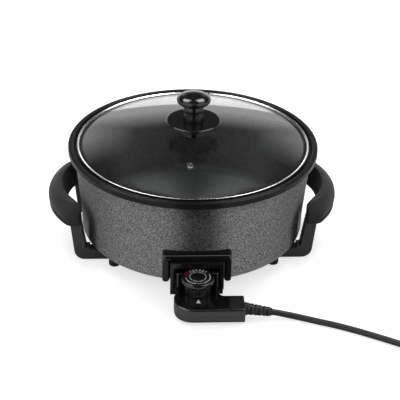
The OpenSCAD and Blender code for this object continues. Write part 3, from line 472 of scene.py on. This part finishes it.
def makeRelief():
    r = reliefSet
    step = r["length"] / r["rings"]
    gapStart, gapEnd = r["gap"]

    def bridge(angle, radius, along):
        # grooves are bridged by turns above and below, or in front and behind
        ring, part = divmod(along / step, 1)
        facingBridge = math.cos(2 * angle + math.pi * ring) > r["bridge"]
        return r["groove"] - r["lip"] if radius > 0 and gapStart < part < gapEnd and facingBridge else 0

    profile = [(0, -r["sunk"])]
    for k in range(r["rings"]):
        for part, inset in r["ridge"] + [(part, r["groove"]) for part in r["grooveAt"]]:
            along = (k + part) * step
            half = (r["start"] + (r["end"] - r["start"]) * along / r["length"]) / 2
            profile.append((half - inset, along))
    profile += [(r["end"] / 2 - r["lip"], r["length"]), (0, r["length"])]
    root = Matrix.Translation(Vector(r["root"]))
    turn = root @ Matrix.Rotation(math.radians(90 + r["droop"]), 4, "Y")
    bm = bmesh.new()
    lathe(bm, profile, toMetres @ turn, steps=72, ripple=bridge)
    lathe(bm, r["stem"], toMetres @ root @ Matrix.Rotation(math.radians(90), 4, "Y"), steps=48)
    addPiece("strainRelief", bm, rubber, "control", ["strain_relief"], sharp=50)


# tie round the turns of the coil
tieSet = {"inner": 30.4, "outer": 54.35, "low": 0.2, "high": 17.6, "wide": 9, "thick": 0.9, "corner": 4,
          "edge": (0.25, 2)}


def makeTie():
    t = tieSet
    rings = []
    for grow in (0, t["thick"]):
        near, far, corner = t["inner"] - grow, t["outer"] + grow, t["corner"] + grow
        low, high = t["low"] + t["thick"] - grow, t["high"] - t["thick"] + grow
        rings.append(roundCorners([(near, low, corner), (far, low, corner), (far, high, corner),
                                   (near, high, corner)]))
    centreX, centreY = coilSet["centre"]
    half = t["wide"] / 2
    bm = bmesh.new()
    loops = []
    for ring, y in ((rings[0], -half), (rings[1], -half), (rings[1], half), (rings[0], half)):
        loops.append([bm.verts.new(Vector((centreX + x, centreY + y, z)) * mm) for x, z in ring])
    joinRings(bm, loops + loops[:1])
    return addPiece("leadTie", bm, satin, "control", ["cord_tie"], edge=t["edge"])


# plug: neck out from the lead, body in from its radius, head also back from its face
plugShape = {"length": 60, "radius": 18.5, "cord": 5.5,
             "neck": [(-0.4, 0), (0, 0.5), (0.4, 4), (2, 16), (4, 20), (6.4, 23.2)],
             "body": [(5, 26.5), (4.4, 33), (3.9, 40)],
             "head": [(3.5, 14), (0.6, 11.6), (0, 10.8), (0, 1), (0.3, 0.3), (1, 0)],
             "slotOut": 3, "slotHalf": 5, "slotDeep": 16, "slotPast": 4}


def makePlug():
    p = plugShape
    x, y, z = plugPlace
    profile = [(0, 0)] + [(p["cord"] + out, along) for out, along in p["neck"]]
    profile += [(p["radius"] - inset, along) for inset, along in p["body"]]
    profile += [(p["radius"] - inset, p["length"] - back) for inset, back in p["head"]]
    profile += [(0, p["length"])]
    turn = Matrix.Translation((x, y, z)) @ Matrix.Rotation(math.radians(-90), 4, "X")
    bm = bmesh.new()
    lathe(bm, profile, toMetres @ turn, steps=72)
    slots = bmesh.new()
    face, half = y + p["length"], p["slotHalf"]
    for side in (-1, 1):
        middle = z + side * (p["radius"] + p["slotOut"])
        block(slots, (x - half, face - p["slotDeep"], middle - half),
              (x + half, face + p["slotPast"], middle + half))
    return addPiece("mainsPlug", bm, satin, "control", ["plug_body"], sharp=40, cutter=slots)


def makeLead(pieces):
    points = leadPath()
    data = tubeCurve("mainsLead", leadSet["diameter"], 4, rubber)
    data.resolution_u = 6
    spline = data.splines.new("BEZIER")
    spline.bezier_points.add(len(points) - 1)
    for knot, point in zip(spline.bezier_points, points):
        knot.co = point * mm
        knot.handle_left_type = knot.handle_right_type = "AUTO"
    obj = addObject("mainsLead", data)
    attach(obj, "control")
    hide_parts("power_cord", "cord_coil", "cord_tail")


makeRelief()
makeLead([makePlug(), "plug_pins", "earth_clips", makeTie()])

# outside of the pan's wall, for the pieces that lie against it
panSet = {"baseRadius": 139.5, "draft": 10, "base": 15.4, "wallTop": 128.6, "belly": 2.7, "soft": 0.6}


def wallRadius(height):
    p = panSet
    out = p["draft"] * (height - p["base"]) / (p["wallTop"] - p["base"])
    return p["baseRadius"] + (out + p["belly"] + math.hypot(out - p["belly"], p["soft"])) / 2


# heating tube in the groove under the pan
heaterSet = {"radius": 88, "tube": 6.6, "height": 12, "apart": 32, "bend": 10, "front": -128}


def makeHeater():
    h = heaterSet
    bendX = h["apart"] / 2 + h["bend"]
    bendY = -math.sqrt((h["radius"] + h["bend"]) ** 2 - bendX ** 2)
    half = math.degrees(math.atan(bendX / -bendY))
    start = [(h["apart"] / 2, h["front"]), (h["apart"] / 2, (bendY + h["front"]) / 2)]
    start += arcPoints((bendX, bendY), h["bend"], 180, 90 + half, steps=10)
    ring = arcPoints((0, 0), h["radius"], half - 90, 270 - half, steps=88)
    line = start + ring[1:-1] + [(-x, y) for x, y in reversed(start)]
    data = tubeCurve("heatingTube", h["tube"], 5, tubeSteel)
    spline = data.splines.new("POLY")
    spline.points.add(len(line) - 1)
    for knot, (x, y) in zip(spline.points, line):
        knot.co = (x * mm, y * mm, h["height"] * mm, 1)
    spline.use_smooth = True
    obj = addObject("heatingTube", data)
    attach(obj, "pan")
    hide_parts("heating_element")


# lid: glass dome with a flat brim
glassSet = {"top": 148.8, "thick": 4, "flat": 21, "brim": 140, "edge": 145, "drop": 13, "hole": 3.5,
            "steps": 40}


def makeGlass():
    g = glassSet
    curve = (g["brim"] ** 2 - g["flat"] ** 2) / (2 * g["drop"])
    reach = [g["flat"] + (g["brim"] - g["flat"]) * k / g["steps"] for k in range(g["steps"] + 1)]
    dome = [(r, g["top"] - (r * r - g["flat"] ** 2) / (2 * curve)) for r in reach]
    low, high = dome[-1][1] - g["thick"], dome[-1][1]
    profile = [(g["hole"], g["top"] - g["thick"])] + [(r, z - g["thick"]) for r, z in dome]
    profile += [(g["edge"], low), (g["edge"], high)] + dome[::-1] + [(g["hole"], g["top"])]
    bm = bmesh.new()
    lathe(bm, profile, toMetres, steps=160, closed=True)
    addPiece("glassDome", bm, glass, "lid", ["lid_glass"])


# steel rim of the lid: skirt, foot, beaded edge and the slope down to the glass
rimSet = {"outer": 145.8, "inner": 142.4, "foot": 131, "top": 136.6, "band": 0.75, "bead": 0.65,
          "slope": 1.3, "skirt": 3, "skirtOuter": 143.2, "ease": 0.3, "sheet": 0.4, "fold": 0.5,
          "lipEdge": (0.2, 0.1)}


def makeRim():
    r = rimSet
    outer, inner, foot, ease = r["outer"], r["inner"], r["foot"], r["ease"]
    back, lip = outer - r["band"], r["top"] - r["slope"]
    lipOut, lipUp = r["lipEdge"]
    profile = [(inner, foot - r["skirt"]), (r["skirtOuter"], foot - r["skirt"]), (r["skirtOuter"], foot),
               (outer - ease, foot), (outer, foot + ease)]
    profile += arcPoints((outer - r["bead"], r["top"] - r["bead"]), r["bead"], 0, 125)
    profile += [(inner + lipOut, lip + lipUp), (inner, lip), (inner, lip - r["sheet"]),
                (outer - r["bead"] - r["fold"], lip + ease), (back, r["top"] - r["bead"] - r["sheet"]),
                (back, foot + r["band"]), (inner, foot + r["band"])]
    bm = bmesh.new()
    lathe(bm, profile, toMetres, steps=180, closed=True)
    addPiece("lidBand", bm, rimSteel, "lid", ["lid_rim"])


# finger guard: boss under a round-edged disc; the lines run out from the boss and up
guardSet = {"boss": 19, "bottom": 150, "disc": 34, "discLow": 163.5, "discHigh": 167.1, "hole": 2.8,
            "seat": 2, "footLine": [(-1, 0), (-0.2, 0.35), (0, 1)],
            "headLine": [(-1.4, -2.2), (-0.9, -0.8), (0.4, 0)]}


def makeGuard():
    g = guardSet
    half = (g["discHigh"] - g["discLow"]) / 2
    profile = [(g["hole"], g["bottom"])]
    profile += [(g["boss"] + out, g["bottom"] + up) for out, up in g["footLine"]]
    profile += [(g["boss"] + out, g["discLow"] + up) for out, up in g["headLine"]]
    profile += arcPoints((g["disc"] - half, g["discLow"] + half), half, 270, 450, steps=12)
    profile += [(knobSet["neck"] + g["seat"], g["discHigh"]), (g["hole"], g["discHigh"])]
    bm = bmesh.new()
    lathe(bm, profile, toMetres, steps=112, closed=True)
    addPiece("fingerGuard", bm, gloss, "lid", ["knob_guard"])


# knob: foot and waist in from the neck, and a flattened ball
knobSet = {"foot": 167.1, "neck": 13.5, "neckHeight": 18.9, "head": 21.3, "headHalf": 8.6, "centre": 194.6,
           "headFrom": -58, "footLine": [(0.8, 0), (0.2, 0.25), (0, 0.8)],
           "waist": [(0.1, 0.2), (0.45, 0.35), (0.8, 0.5), (1, 0.62), (0.85, 0.74), (0.4, 0.83)]}


def makeKnob():
    k = knobSet
    profile = [(0, k["foot"])] + [(k["neck"] - inset, k["foot"] + up) for inset, up in k["footLine"]]
    profile += [(k["neck"] - inset, k["foot"] + k["neckHeight"] * t) for inset, t in k["waist"]]
    for angle in range(k["headFrom"], 90, 4):
        turn = math.radians(angle)
        profile.append((k["head"] * math.cos(turn), k["centre"] + k["headHalf"] * math.sin(turn)))
    profile += [(0, k["centre"] + k["headHalf"])]
    bm = bmesh.new()
    lathe(bm, profile, toMetres, steps=112)
    addPiece("lidKnob", bm, gloss, "lid", ["lid_knob"], sharp=60)
    print("lid made")


# grips: one arched section, cut by its round ends; its points lie in from the arch and up from below
gripSet = {"centre": 84.3, "radius": 100, "half": 66, "low": 53, "high": 83, "side": 140, "toe": 9,
           "inner": 6, "shoulder": 18, "steps": 64, "screwY": 55.75, "screwZ": 59, "screwDeep": 2.2,
           "screwPast": 2, "screwHole": 3.2,
           "outside": (17, 13, 17, -24, 60), "inside": (17, 29, 1, 90, 190),  # in, up, radius, from, to
           "lip": [(23.6, 1.5), (23.2, 0.4), (22.4, 0), (2.6, 0), (1.7, 0.3), (1.1, 1.2), (0.8, 3),
                   (0.8, 4.4), (1.1, 4.7), (2, 5), (1.9, 5.5)],
           "crest": [(10.1, 28.8), (12, 29.6), (14, 29.95)]}


def gripSection():
    g = gripSet

    def points(line):
        return [(g["radius"] - inset, g["low"] + up) for inset, up in line]

    def bend(inset, up, radius, start, end, steps):
        return arcPoints((g["radius"] - inset, g["low"] + up), radius, start, end, steps)

    return points(g["lip"]) + bend(*g["outside"], 16) + points(g["crest"]) + bend(*g["inside"], 6)


def roundOff(radius, past):
    # how far a rounded end draws in, past the start of its rounding
    return radius - math.sqrt(max(radius ** 2 - past ** 2, 0)) if past > 0 else 0


def gripRing(section, y, side):
    g = gripSet
    out = abs(y)
    top = g["high"] - roundOff(g["shoulder"], out - (g["half"] - g["shoulder"]))
    inner = g["side"] + roundOff(g["inner"], out - (g["half"] - g["inner"]))
    toeY = g["half"] - g["toe"]
    toeReach = math.sqrt((g["radius"] - g["toe"]) ** 2 - toeY ** 2)
    full = g["centre"] + math.sqrt(g["radius"] ** 2 - y * y)
    outer = full
    if out > toeY * g["radius"] / (g["radius"] - g["toe"]):
        outer = g["centre"] + toeReach + math.sqrt(max(g["toe"] ** 2 - (out - toeY) ** 2, 0))
    ring = []
    for r, z in section:
        x = max(g["centre"] + math.sqrt(max(r * r - y * y, 0)), inner)
        x = inner + (x - inner) * (outer - inner) / (full - inner)
        z = g["low"] + (z - g["low"]) * (top - g["low"]) / (g["high"] - g["low"])
        ring.append(Vector((side * x, y, z)) * mm)
    return ring


def makeGrips():
    g = gripSet
    section = gripSection()
    places = [g["half"] * math.sin(math.radians(-90 + 180 * k / g["steps"])) for k in range(g["steps"] + 1)]
    start, end = g["side"] - g["screwPast"], g["side"] + g["screwDeep"]
    for name, node, side in (("leftGrip", "left_grip", -1), ("rightGrip", "right_grip", 1)):
        bm = bmesh.new()
        loft(bm, [gripRing(section, y, side) for y in places])
        holes = bmesh.new()
        for y in (-g["screwY"], g["screwY"]):
            rod(holes, (side * start, y, g["screwZ"]), (side * end, y, g["screwZ"]), g["screwHole"])
        addPiece(name, bm, charcoal, "pan", [node], sharp=38, cutter=holes)


# legs: upright, arm under the pan and the screw hole in the arm
legSet = {"outline": [(96.5, 2), (149.5, 2, 13), (154.6, 53.2), (140.6, 53.2), (135.5, 18.8, 1.5),
                      (131.05, 18.8), (131.05, 15.4), (96.5, 15.4)],
          "sides": (48, 63.5), "screw": (106.5, 55.75), "screwHole": 4.2, "screwTop": 6, "edge": (1.1, 3)}
legNames = [("frontLeftLeg", "front_left_leg", -1, -1), ("rearLeftLeg", "rear_left_leg", -1, 1),
            ("frontRightLeg", "front_right_leg", 1, -1), ("rearRightLeg", "rear_right_leg", 1, 1)]


def makeLegs():
    s = legSet
    outline = roundCorners(s["outline"], steps=8)
    for name, node, sideX, sideY in legNames:
        bm = bmesh.new()
        loft(bm, [[Vector((sideX * x, sideY * y, z)) * mm for x, z in outline] for y in s["sides"]])
        x, y = sideX * s["screw"][0], sideY * s["screw"][1]
        hole = bmesh.new()
        rod(hole, (x, y, 0), (x, y, s["screwTop"]), s["screwHole"])
        addPiece(name, bm, paintedLightLegPlastic, "pan", [node], cutter=hole, edge=s["edge"])
    print("grips and legs made")


# socket: hood over the collar with a rolled front edge, and a cheek on each side
hoodSet = {"half": 41.5, "low": 56, "high": 64, "front": -152.04, "back": -114.5, "crest": -147, "gap": 0.3,
           "roll": [(3, 1.1), (1.2, 2.4), (0.35, 3.6), (0, 5), (0.3, 6.2), (1, 7)], "taper": 0.3,
           "rollDeep": 5.4, "underFrom": 6, "under": 0.6, "corner": 4, "lowCorner": 0.8,
           "cheekFront": -146.04, "cheekInner": 33.2, "cheekLow": 22, "cheekCorner": 3.4, "cheekGap": 0.02,
           "cheekEdge": (1.2, 3)}


def wallCone(gap):
    bm = bmesh.new()
    side = [(wallRadius(z) + gap, z) for z in range(0, 101, 10)]
    lathe(bm, [(0, 0)] + side + [(0, 100)], toMetres, steps=180)
    return bm


def makeHood():
    h = hoodSet
    rings = []
    for y, drop in [(h["back"], 0), (h["crest"], 0)] + [(h["front"] + y, drop) for y, drop in h["roll"]]:
        side, high = h["half"] - h["taper"] * drop, h["high"] - min(drop, h["rollDeep"])
        low = h["low"] + max(0, drop - h["underFrom"]) * h["under"]
        corner = min(h["corner"], high - low - 1)
        ring = roundCorners([(side, low, h["lowCorner"]), (side, high, corner), (-side, high, corner),
                             (-side, low, h["lowCorner"])])
        rings.append([facing @ Vector((x, z, -y)) for x, z in ring])
    bm = bmesh.new()
    loft(bm, rings)
    addPiece("socketHood", bm, gloss, "pan", ["socket_hood"], cutter=wallCone(h["gap"]))
    top = h["low"] - h["cheekGap"]
    for name, side in (("leftCheek", -1), ("rightCheek", 1)):
        inner, outer = side * h["cheekInner"], side * h["half"]
        cheek = roundCorners([(inner, top), (outer, top), (outer, h["cheekLow"], h["cheekCorner"]),
                              (inner, h["cheekLow"], h["cheekCorner"])])
        bm = bmesh.new()
        prism(bm, cheek, -h["back"], -h["cheekFront"], facing)
        addPiece(name, bm, satin, "pan", ["socket_hood"], cutter=wallCone(h["gap"]), edge=h["cheekEdge"])


# collar round the control's neck, and the plate behind it with the pin holes and the tongue
collarSet = {"half": 32, "foot": 17, "top": 56, "open": 27, "openTop": 47.5, "openCorner": 1.5,
             "front": -157.04, "plateFront": -146.04, "plateBack": -143.53, "low": 3.6, "tongueHalf": 22,
             "tongueTop": 6.4, "tongueBack": -100, "edge": (1.2, 4), "plateEdge": (0.5, 2),
             "holes": [(-16, 5.15), (0, 4), (16, 5.15)], "pinHeight": 12}


def makeCollar():
    c = collarSet
    half, foot, top = c["half"], c["foot"], c["top"]
    arch = [(-half, foot), (-half, top), (half, top), (half, foot), (c["open"], foot),
            (c["open"], c["openTop"], c["openCorner"]), (-c["open"], c["openTop"], c["openCorner"]),
            (-c["open"], foot)]
    bm = bmesh.new()
    prism(bm, roundCorners(arch), -c["plateFront"], -c["front"], facing)
    back = bmesh.new()
    plate = [(-half, c["low"]), (-half, top), (half, top), (half, c["low"])]
    prism(back, plate, -c["plateBack"], -c["plateFront"], facing)
    block(back, (-c["tongueHalf"], c["plateBack"], c["low"]),
          (c["tongueHalf"], c["tongueBack"], c["tongueTop"]))
    holes = bmesh.new()
    for x, radius in c["holes"]:
        rod(holes, (x, c["plateFront"] - 1, c["pinHeight"]), (x, c["plateBack"] + 1, c["pinHeight"]), radius)
    addPiece("socketCollar", bm, gloss, "pan", ["socket_collar"], edge=c["edge"])
    addPiece("socketPlate", back, satin, "pan", ["socket_collar"], cutter=holes, edge=c["plateEdge"])
    print("socket made")


# heat control: shell in two halves, drawn from the plate's face
caseSet = {"plate": -146.04, "low": 5, "split": 12, "high": 23, "wall": 2, "neck": 25.5, "side": 28.5,
           "arm": 54.5, "reach": 61, "flare": -30.5, "neckReach": 22, "nose": 22, "fillet": 7, "round": 2,
           "roundSteps": 6, "corner": 2, "seam": 0.12, "footLine": [(0, 1), (0.3, 0.3), (1, 0)],
           "holes": [(-16, 3.6), (0, 3.15), (16, 3.6)], "holeReach": (2, -6), "pinHeight": 12,
           "leadHole": 6.85, "leadReach": (-8, 5), "postHole": 2.6, "postReach": (4, 6.9),
           "posts": [(-22.5, -187.04), (48.5, -181.04), (28, -200.54)]}


def caseRing(inset, height):
    c = caseSet
    x, side, arm = c["neck"] - inset, c["side"] - inset, c["arm"] - inset
    front, back, corner = -c["reach"] + inset, c["flare"] - inset, max(c["corner"] - inset, 0.05)
    ring = [(-x, -1 - inset), (x, -1 - inset)]
    ring += arcPoints((c["neck"] + c["fillet"], c["flare"] + c["fillet"]), c["fillet"] + inset, 180, 270)
    ring += arcPoints((arm - corner, back - corner), corner, 90, 0, steps=4)
    ring += arcPoints((arm - corner, front + corner), corner, 0, -90, steps=4)
    nose = (-c["side"] + c["nose"], -c["reach"] + c["nose"])
    ring += arcPoints(nose, c["nose"] - inset, 270, 180, steps=16)
    ring += [(-side, c["flare"]), (-x, -c["neckReach"])]
    return [Vector((px, py + c["plate"], height)) * mm for px, py in ring]


def caseHoles():
    # for the two pins and the sensor tube, and for the strain relief
    c = caseSet
    holes = bmesh.new()
    start, end = (c["plate"] + reach for reach in c["holeReach"])
    for x, radius in c["holes"]:
        rod(holes, (x, start, c["pinHeight"]), (x, end, c["pinHeight"]), radius)
    start, end = (c["arm"] + reach for reach in c["leadReach"])
    rod(holes, (start, *reliefSet["root"][1:]), (end, *reliefSet["root"][1:]), c["leadHole"])
    return holes


def makeControl():
    c = caseSet
    seam = c["seam"]
    rings = [caseRing(c["wall"], c["high"] - c["wall"]), caseRing(c["wall"], c["split"]),
             caseRing(seam, c["split"]), caseRing(0, c["split"] + seam), caseRing(0, c["high"] - c["round"])]
    for k in range(1, c["roundSteps"] + 1):
        turn = math.radians(90 * k / c["roundSteps"])
        inset, drop = (c["round"] * (1 - share) for share in (math.cos(turn), math.sin(turn)))
        rings.append(caseRing(inset, c["high"] - drop))
    bm = bmesh.new()
    loft(bm, rings)
    addPiece("controlTop", bm, caseBlack, "control", ["control_top"], cutter=caseHoles())
    rings = [caseRing(c["wall"], c["low"] + c["wall"]), caseRing(c["wall"], c["split"]),
             caseRing(seam, c["split"]), caseRing(0, c["split"] - seam)]
    rings += [caseRing(inset, c["low"] + up) for inset, up in c["footLine"]]
    bm = bmesh.new()
    loft(bm, rings)
    holes = caseHoles()
    start, end = c["postReach"]
    for x, y in c["posts"]:
        rod(holes, (x, y, start), (x, y, end), c["postHole"])
    addPiece("controlBottom", bm, caseBlack, "control", ["control_bottom"], cutter=holes)


# tower behind the dial, hollowed for it
towerSet = {"half": 25, "back": -147.04, "front": -160.04, "low": 22, "high": 43, "corner": 2.5,
            "hollow": 20.7, "edge": (1.3, 4)}


def makeTower():
    t = towerSet
    outline = roundCorners([(-t["half"], t["back"]), (t["half"], t["back"]),
                            (t["half"], t["front"], t["corner"]), (-t["half"], t["front"], t["corner"])])
    bm = bmesh.new()
    prism(bm, outline, t["low"], t["high"], toMetres)
    hollow = bmesh.new()
    rod(hollow, (0, dialSet["y"], t["low"] + 1), (0, dialSet["y"], t["high"] + 5), t["hollow"], steps=96)
    addPiece("controlTower", bm, caseBlack, "control", ["control_top"], cutter=hollow, edge=t["edge"])
    print("control case made")


# dial: ribbed foot and flared head; the lines run out and up from the foot, in and down from the top
dialSet = {"y": -169.64, "foot": 23.6, "top": 45, "radius": 19.5, "footRadius": 14.5, "plateTop": 44.9,
           "bore": 3.05, "hub": 6, "hubDeep": 2.6, "rimDeep": 0.6,
           "ribs": 36, "ribDeep": 0.62, "ribEase": 0.6, "ribLow": 0.9, "ribHigh": 10.2,
           "footLine": [(-0.6, 0), (-0.15, 0.2), (0, 0.6), (0, 0.89), (0, 1.3), (0, 9.8), (0, 10.21),
                        (0.2, 10.7), (1, 11.5)],
           "headLine": [(0.9, 5.9), (0.25, 5.2), (0, 4.5), (0, 1), (0.25, 0.3), (0.8, 0), (1.6, 0),
                        (1.6, 0.6)]}


def ribs(angle, radius, height):
    d = dialSet
    if d["ribLow"] < height - d["foot"] < d["ribHigh"] and radius > d["hub"]:
        return d["ribDeep"] * max(0, math.cos(d["ribs"] * angle)) ** d["ribEase"]
    return 0


def makeDial():
    d = dialSet
    foot, top, floor = d["foot"], d["top"], d["foot"] + d["hubDeep"]
    profile = [(d["bore"], floor), (d["hub"], floor), (d["hub"], foot)]
    profile += [(d["footRadius"] + out, foot + up) for out, up in d["footLine"]]
    profile += [(d["radius"] - inset, top - down) for inset, down in d["headLine"]]
    profile += [(d["bore"], top - d["rimDeep"])]
    bm = bmesh.new()
    place = toMetres @ Matrix.Translation((0, d["y"], 0))
    lathe(bm, profile, place, steps=d["ribs"] * 8, closed=True, ripple=ribs)
    addPiece("dialKnob", bm, caseBlack, "dial", ["dial_knob"], sharp=40)


# print: broken ring, arcs and dots of the scale, red mark, numbers, and the pointer on the case
printSet = {"ring": (9.3, 9.95), "ringParts": 8, "ringGap": 4,
            "arcs": [(14.2, 14.95, 188, 258), (14.2, 14.95, -64, 22)],
            "dots": 5, "dotArc": (264, 290), "dotReach": 14.6, "dotRadius": 0.45,
            "mark": (10.8, 17.4, 137, 168), "pointer": [(0, -185.2), (-2.7, -192.4), (2.7, -192.4)],
            "numbers": 6, "numberReach": 13.6, "numberSize": 5, "numberArc": (128, 46), "bold": 0.14,
            "thick": 0.05, "sunk": 0.02}


def spread(arc, count, k):
    return math.radians(arc[0] + (arc[1] - arc[0]) * k / (count - 1))


def sector(bm, inner, outer, start, end, steps, low, high):
    outline = arcPoints((0, dialSet["y"]), outer, start, end, steps)
    outline += arcPoints((0, dialSet["y"]), inner, end, start, steps)
    prism(bm, outline, low, high, toMetres)


def makePrint():
    p = printSet
    low, high = dialSet["plateTop"] - p["sunk"], dialSet["plateTop"] + p["thick"]
    white = bmesh.new()
    part = 360 / p["ringParts"]
    for k in range(p["ringParts"]):
        sector(white, *p["ring"], part * k + p["ringGap"], part * (k + 1) - p["ringGap"], 8, low, high)
    for arc in p["arcs"]:
        sector(white, *arc, 14, low, high)
    for k in range(p["dots"]):
        angle = spread(p["dotArc"], p["dots"], k)
        centre = (p["dotReach"] * math.cos(angle), dialSet["y"] + p["dotReach"] * math.sin(angle))
        prism(white, arcPoints(centre, p["dotRadius"], 0, 330, steps=11), low, high, toMetres)
    addPiece("dialScale", white, whitePrint, "dial")
    red = bmesh.new()
    sector(red, *p["mark"], 8, low, high)
    addPiece("dialOffMark", red, redPrint, "dial")
    white = bmesh.new()
    prism(white, p["pointer"], caseSet["high"] - p["sunk"], caseSet["high"] + p["thick"], toMetres)
    addPiece("pointer", white, whitePrint, "control")


def makeNumbers():
    p = printSet
    for k in range(p["numbers"]):
        angle = spread(p["numberArc"], p["numbers"], k)
        data = bpy.data.curves.new("dialNumber", "FONT")
        data.body = str(k + 1)
        data.size = p["numberSize"] * mm
        data.align_x = data.align_y = "CENTER"
        data.extrude = p["thick"] / 2 * mm
        data.offset = p["bold"] * mm
        letter = addObject("dialNumber", data)
        graph = bpy.context.evaluated_depsgraph_get()
        shape = bpy.data.meshes.new_from_object(letter.evaluated_get(graph))
        bpy.data.objects.remove(letter)
        x, y = p["numberReach"] * math.cos(angle), dialSet["y"] + p["numberReach"] * math.sin(angle)
        place = Vector((x, y, dialSet["plateTop"]))
        shape.transform(Matrix.Translation(place * mm) @ Matrix.Rotation(angle - math.pi / 2, 4, "Z"))
        bm = bmesh.new()
        bm.from_mesh(shape)
        bpy.data.meshes.remove(shape)
        bmesh.ops.remove_doubles(bm, verts=bm.verts, dist=1e-7)
        addPiece("dialNumber" + str(k + 1), bm, whitePrint, "dial")
    print("dial and print made")


makeHeater()
makeGlass()
makeRim()
makeGuard()
makeKnob()
makeGrips()
makeLegs()
makeHood()
makeCollar()
makeControl()
makeTower()
makeDial()
makePrint()
makeNumbers()

# solid-model pieces that stay, with their finish
finishes = {
    coat: ["pan_body"],
    satin: ["contact_block", "cord_clamp", "dial_plate"],
    rubber: ["base_feet", "upper_seal", "lower_seal"],
    rimSteel: ["vent_eyelet"],
    screwSteel: ["hood_screws", "socket_screws", "grip_screws", "leg_screws", "foot_screws", "knob_screw",
                 "screw_washer", "case_screws", "clamp_screws", "terminal_pins", "sensor_tube",
                 "dial_spindle", "thermostat_frame", "plug_pins"],
    brass: ["knob_insert", "contact_sleeves", "fixed_contact", "contact_blade", "spindle_bush",
            "earth_clips"],
    ceramic: ["pin_insulators"],
    wireCover: ["wire_leads"],
}


def dressNodes():
    for material, names in finishes.items():
        for name in names:
            for slot in nodes[name].material_slots:
                slot.link = "OBJECT"
                slot.material = material


dressNodes()
print("solid pieces dressed")

# floor, lamps and the studio round them, whose tones go by height or by how far to the side
# paintedShadeFrom: how far ahead of the pan the floor's painted shade in reflections begins
stageSet = {"size": 12, "floor": (0.62, 0.62, 0.625), "rough": 0.7, "glow": 0.66, "paintedShadeFrom": -0.245}
lightSet = [
    {"name": "leftSoftbox", "place": (-0.62, 0.48, 1.6), "aim": (0, 0, 0.1),
     "size": (0.7, 0.7), "power": 13},
    {"name": "rightSoftbox", "place": (0.62, 0.48, 1.6), "aim": (0, 0, 0.1),
     "size": (0.7, 0.7), "power": 13},
    {"name": "backStrip", "place": (0, 2.2, 0.36), "aim": (0, 0, 0.15),
     "size": (3.0, 0.4), "power": 4.6},
    {"name": "edgeStrip", "place": (0, -0.8, 1.5), "aim": (0, -0.15, 0.05),
     "size": (1.0, 0.1), "power": 1.5},
]
skySet = {"back": [(0, 1.0), (0.26, 0.9), (0.4, 0.06), (1, 0.05)],
          "front": [(0, 1.3), (0.85, 1.3), (0.95, 0.1)], "gap": [(0.24, 0.01), (0.36, 1.0)], "shift": 0.05,
          "panel": [(0.13, 0), (0.26, 0.9), (0.32, 0.9), (0.44, 0)], "panelTop": [(0.4, 1), (0.58, 0)],
          "blend": 0.15}


def sideTone(tree, side, shift, stops):
    # the same left and right of the shifted middle
    aside = mathNode(tree, "SUBTRACT", side, shift)
    return toned(tree, mathNode(tree, "ABSOLUTE", aside), stops)


def floorTone(tree, path):
    # painted shade: in reflections only, the floor ahead of the control is painted as dark as the studio's
    # gap, which darkens the band that the wall reflects above the hood
    place = tree.nodes.new("ShaderNodeNewGeometry").outputs["Position"]
    x, y, height = splitPlace(tree, place)
    ahead = mathNode(tree, "LESS_THAN", y, stageSet["paintedShadeFrom"])
    share = mathNode(tree, "MULTIPLY", ahead, path.outputs["Is Glossy Ray"])
    dark = [(where, tone * stageSet["floor"][0]) for where, tone in skySet["gap"]]
    gap = sideTone(tree, mathNode(tree, "DIVIDE", x, y), -skySet["shift"], dark)
    return mixNode(tree, "RGBA", share, toColor(stageSet["floor"]), gap)


def makeStage():
    bm = bmesh.new()
    bmesh.ops.create_grid(bm, x_segments=1, y_segments=1, size=stageSet["size"] / 2)
    mesh = bpy.data.meshes.new("floor")
    bm.to_mesh(mesh)
    bm.free()
    floor = addObject("floor", mesh)
    material, tree, shader = newMaterial("paleFloor")
    shader.inputs["Roughness"].default_value = stageSet["rough"]
    path = tree.nodes.new("ShaderNodeLightPath")
    tree.links.new(floorTone(tree, path), shader.inputs["Base Color"])
    # the white of the background, seen directly and through glass, adds no light
    seen = mathNode(tree, "MAXIMUM", path.outputs["Is Camera Ray"], path.outputs["Is Transmission Ray"])
    shader.inputs["Emission Color"].default_value = toColor(1)
    tree.links.new(mathNode(tree, "MULTIPLY", seen, stageSet["glow"]), shader.inputs["Emission Strength"])
    mesh.materials.append(material)


def makeLights():
    for look in lightSet:
        data = bpy.data.lights.new(look["name"], "AREA")
        data.shape = "RECTANGLE"
        data.size, data.size_y = look["size"]
        data.energy = look["power"]
        obj = addObject(look["name"], data)
        obj.location = look["place"]
        aim = Vector(look["aim"]) - Vector(look["place"])
        obj.rotation_euler = aim.to_track_quat("-Z", "Y").to_euler()


def makeStudio():
    # pale walls with a dark gap behind the camera, two pale panels behind the pan, and a dark ceiling
    world = bpy.data.worlds.new("studio")
    scene.world = world
    world.use_nodes = True
    tree = world.node_tree
    place = tree.nodes.new("ShaderNodeTexCoord").outputs["Generated"]
    x, y, height = splitPlace(tree, place)
    back, front, panelTop = (toned(tree, height, skySet[key]) for key in ("back", "front", "panelTop"))
    gap, panel = (sideTone(tree, x, skySet["shift"], skySet[key]) for key in ("gap", "panel"))
    ahead = mathNode(tree, "MULTIPLY", front, gap)
    behind = mathNode(tree, "MAXIMUM", back, mathNode(tree, "MULTIPLY", panel, panelTop))
    depth = tree.nodes.new("ShaderNodeMapRange")
    depth.inputs["From Min"].default_value = -skySet["blend"]
    depth.inputs["From Max"].default_value = skySet["blend"]
    tree.links.new(y, depth.inputs["Value"])
    tone = mixNode(tree, "FLOAT", depth.outputs["Result"], ahead, behind)
    # seen directly, the studio is as white as the floor
    path = tree.nodes.new("ShaderNodeLightPath")
    studio = tree.nodes["Background"]
    studio.inputs["Color"].default_value = toColor(1)
    tree.links.new(mathNode(tree, "MAXIMUM", tone, path.outputs["Is Camera Ray"]), studio.inputs["Strength"])


makeStage()
makeLights()
makeStudio()
scene.view_settings.view_transform = "Standard"
print("stage lit")
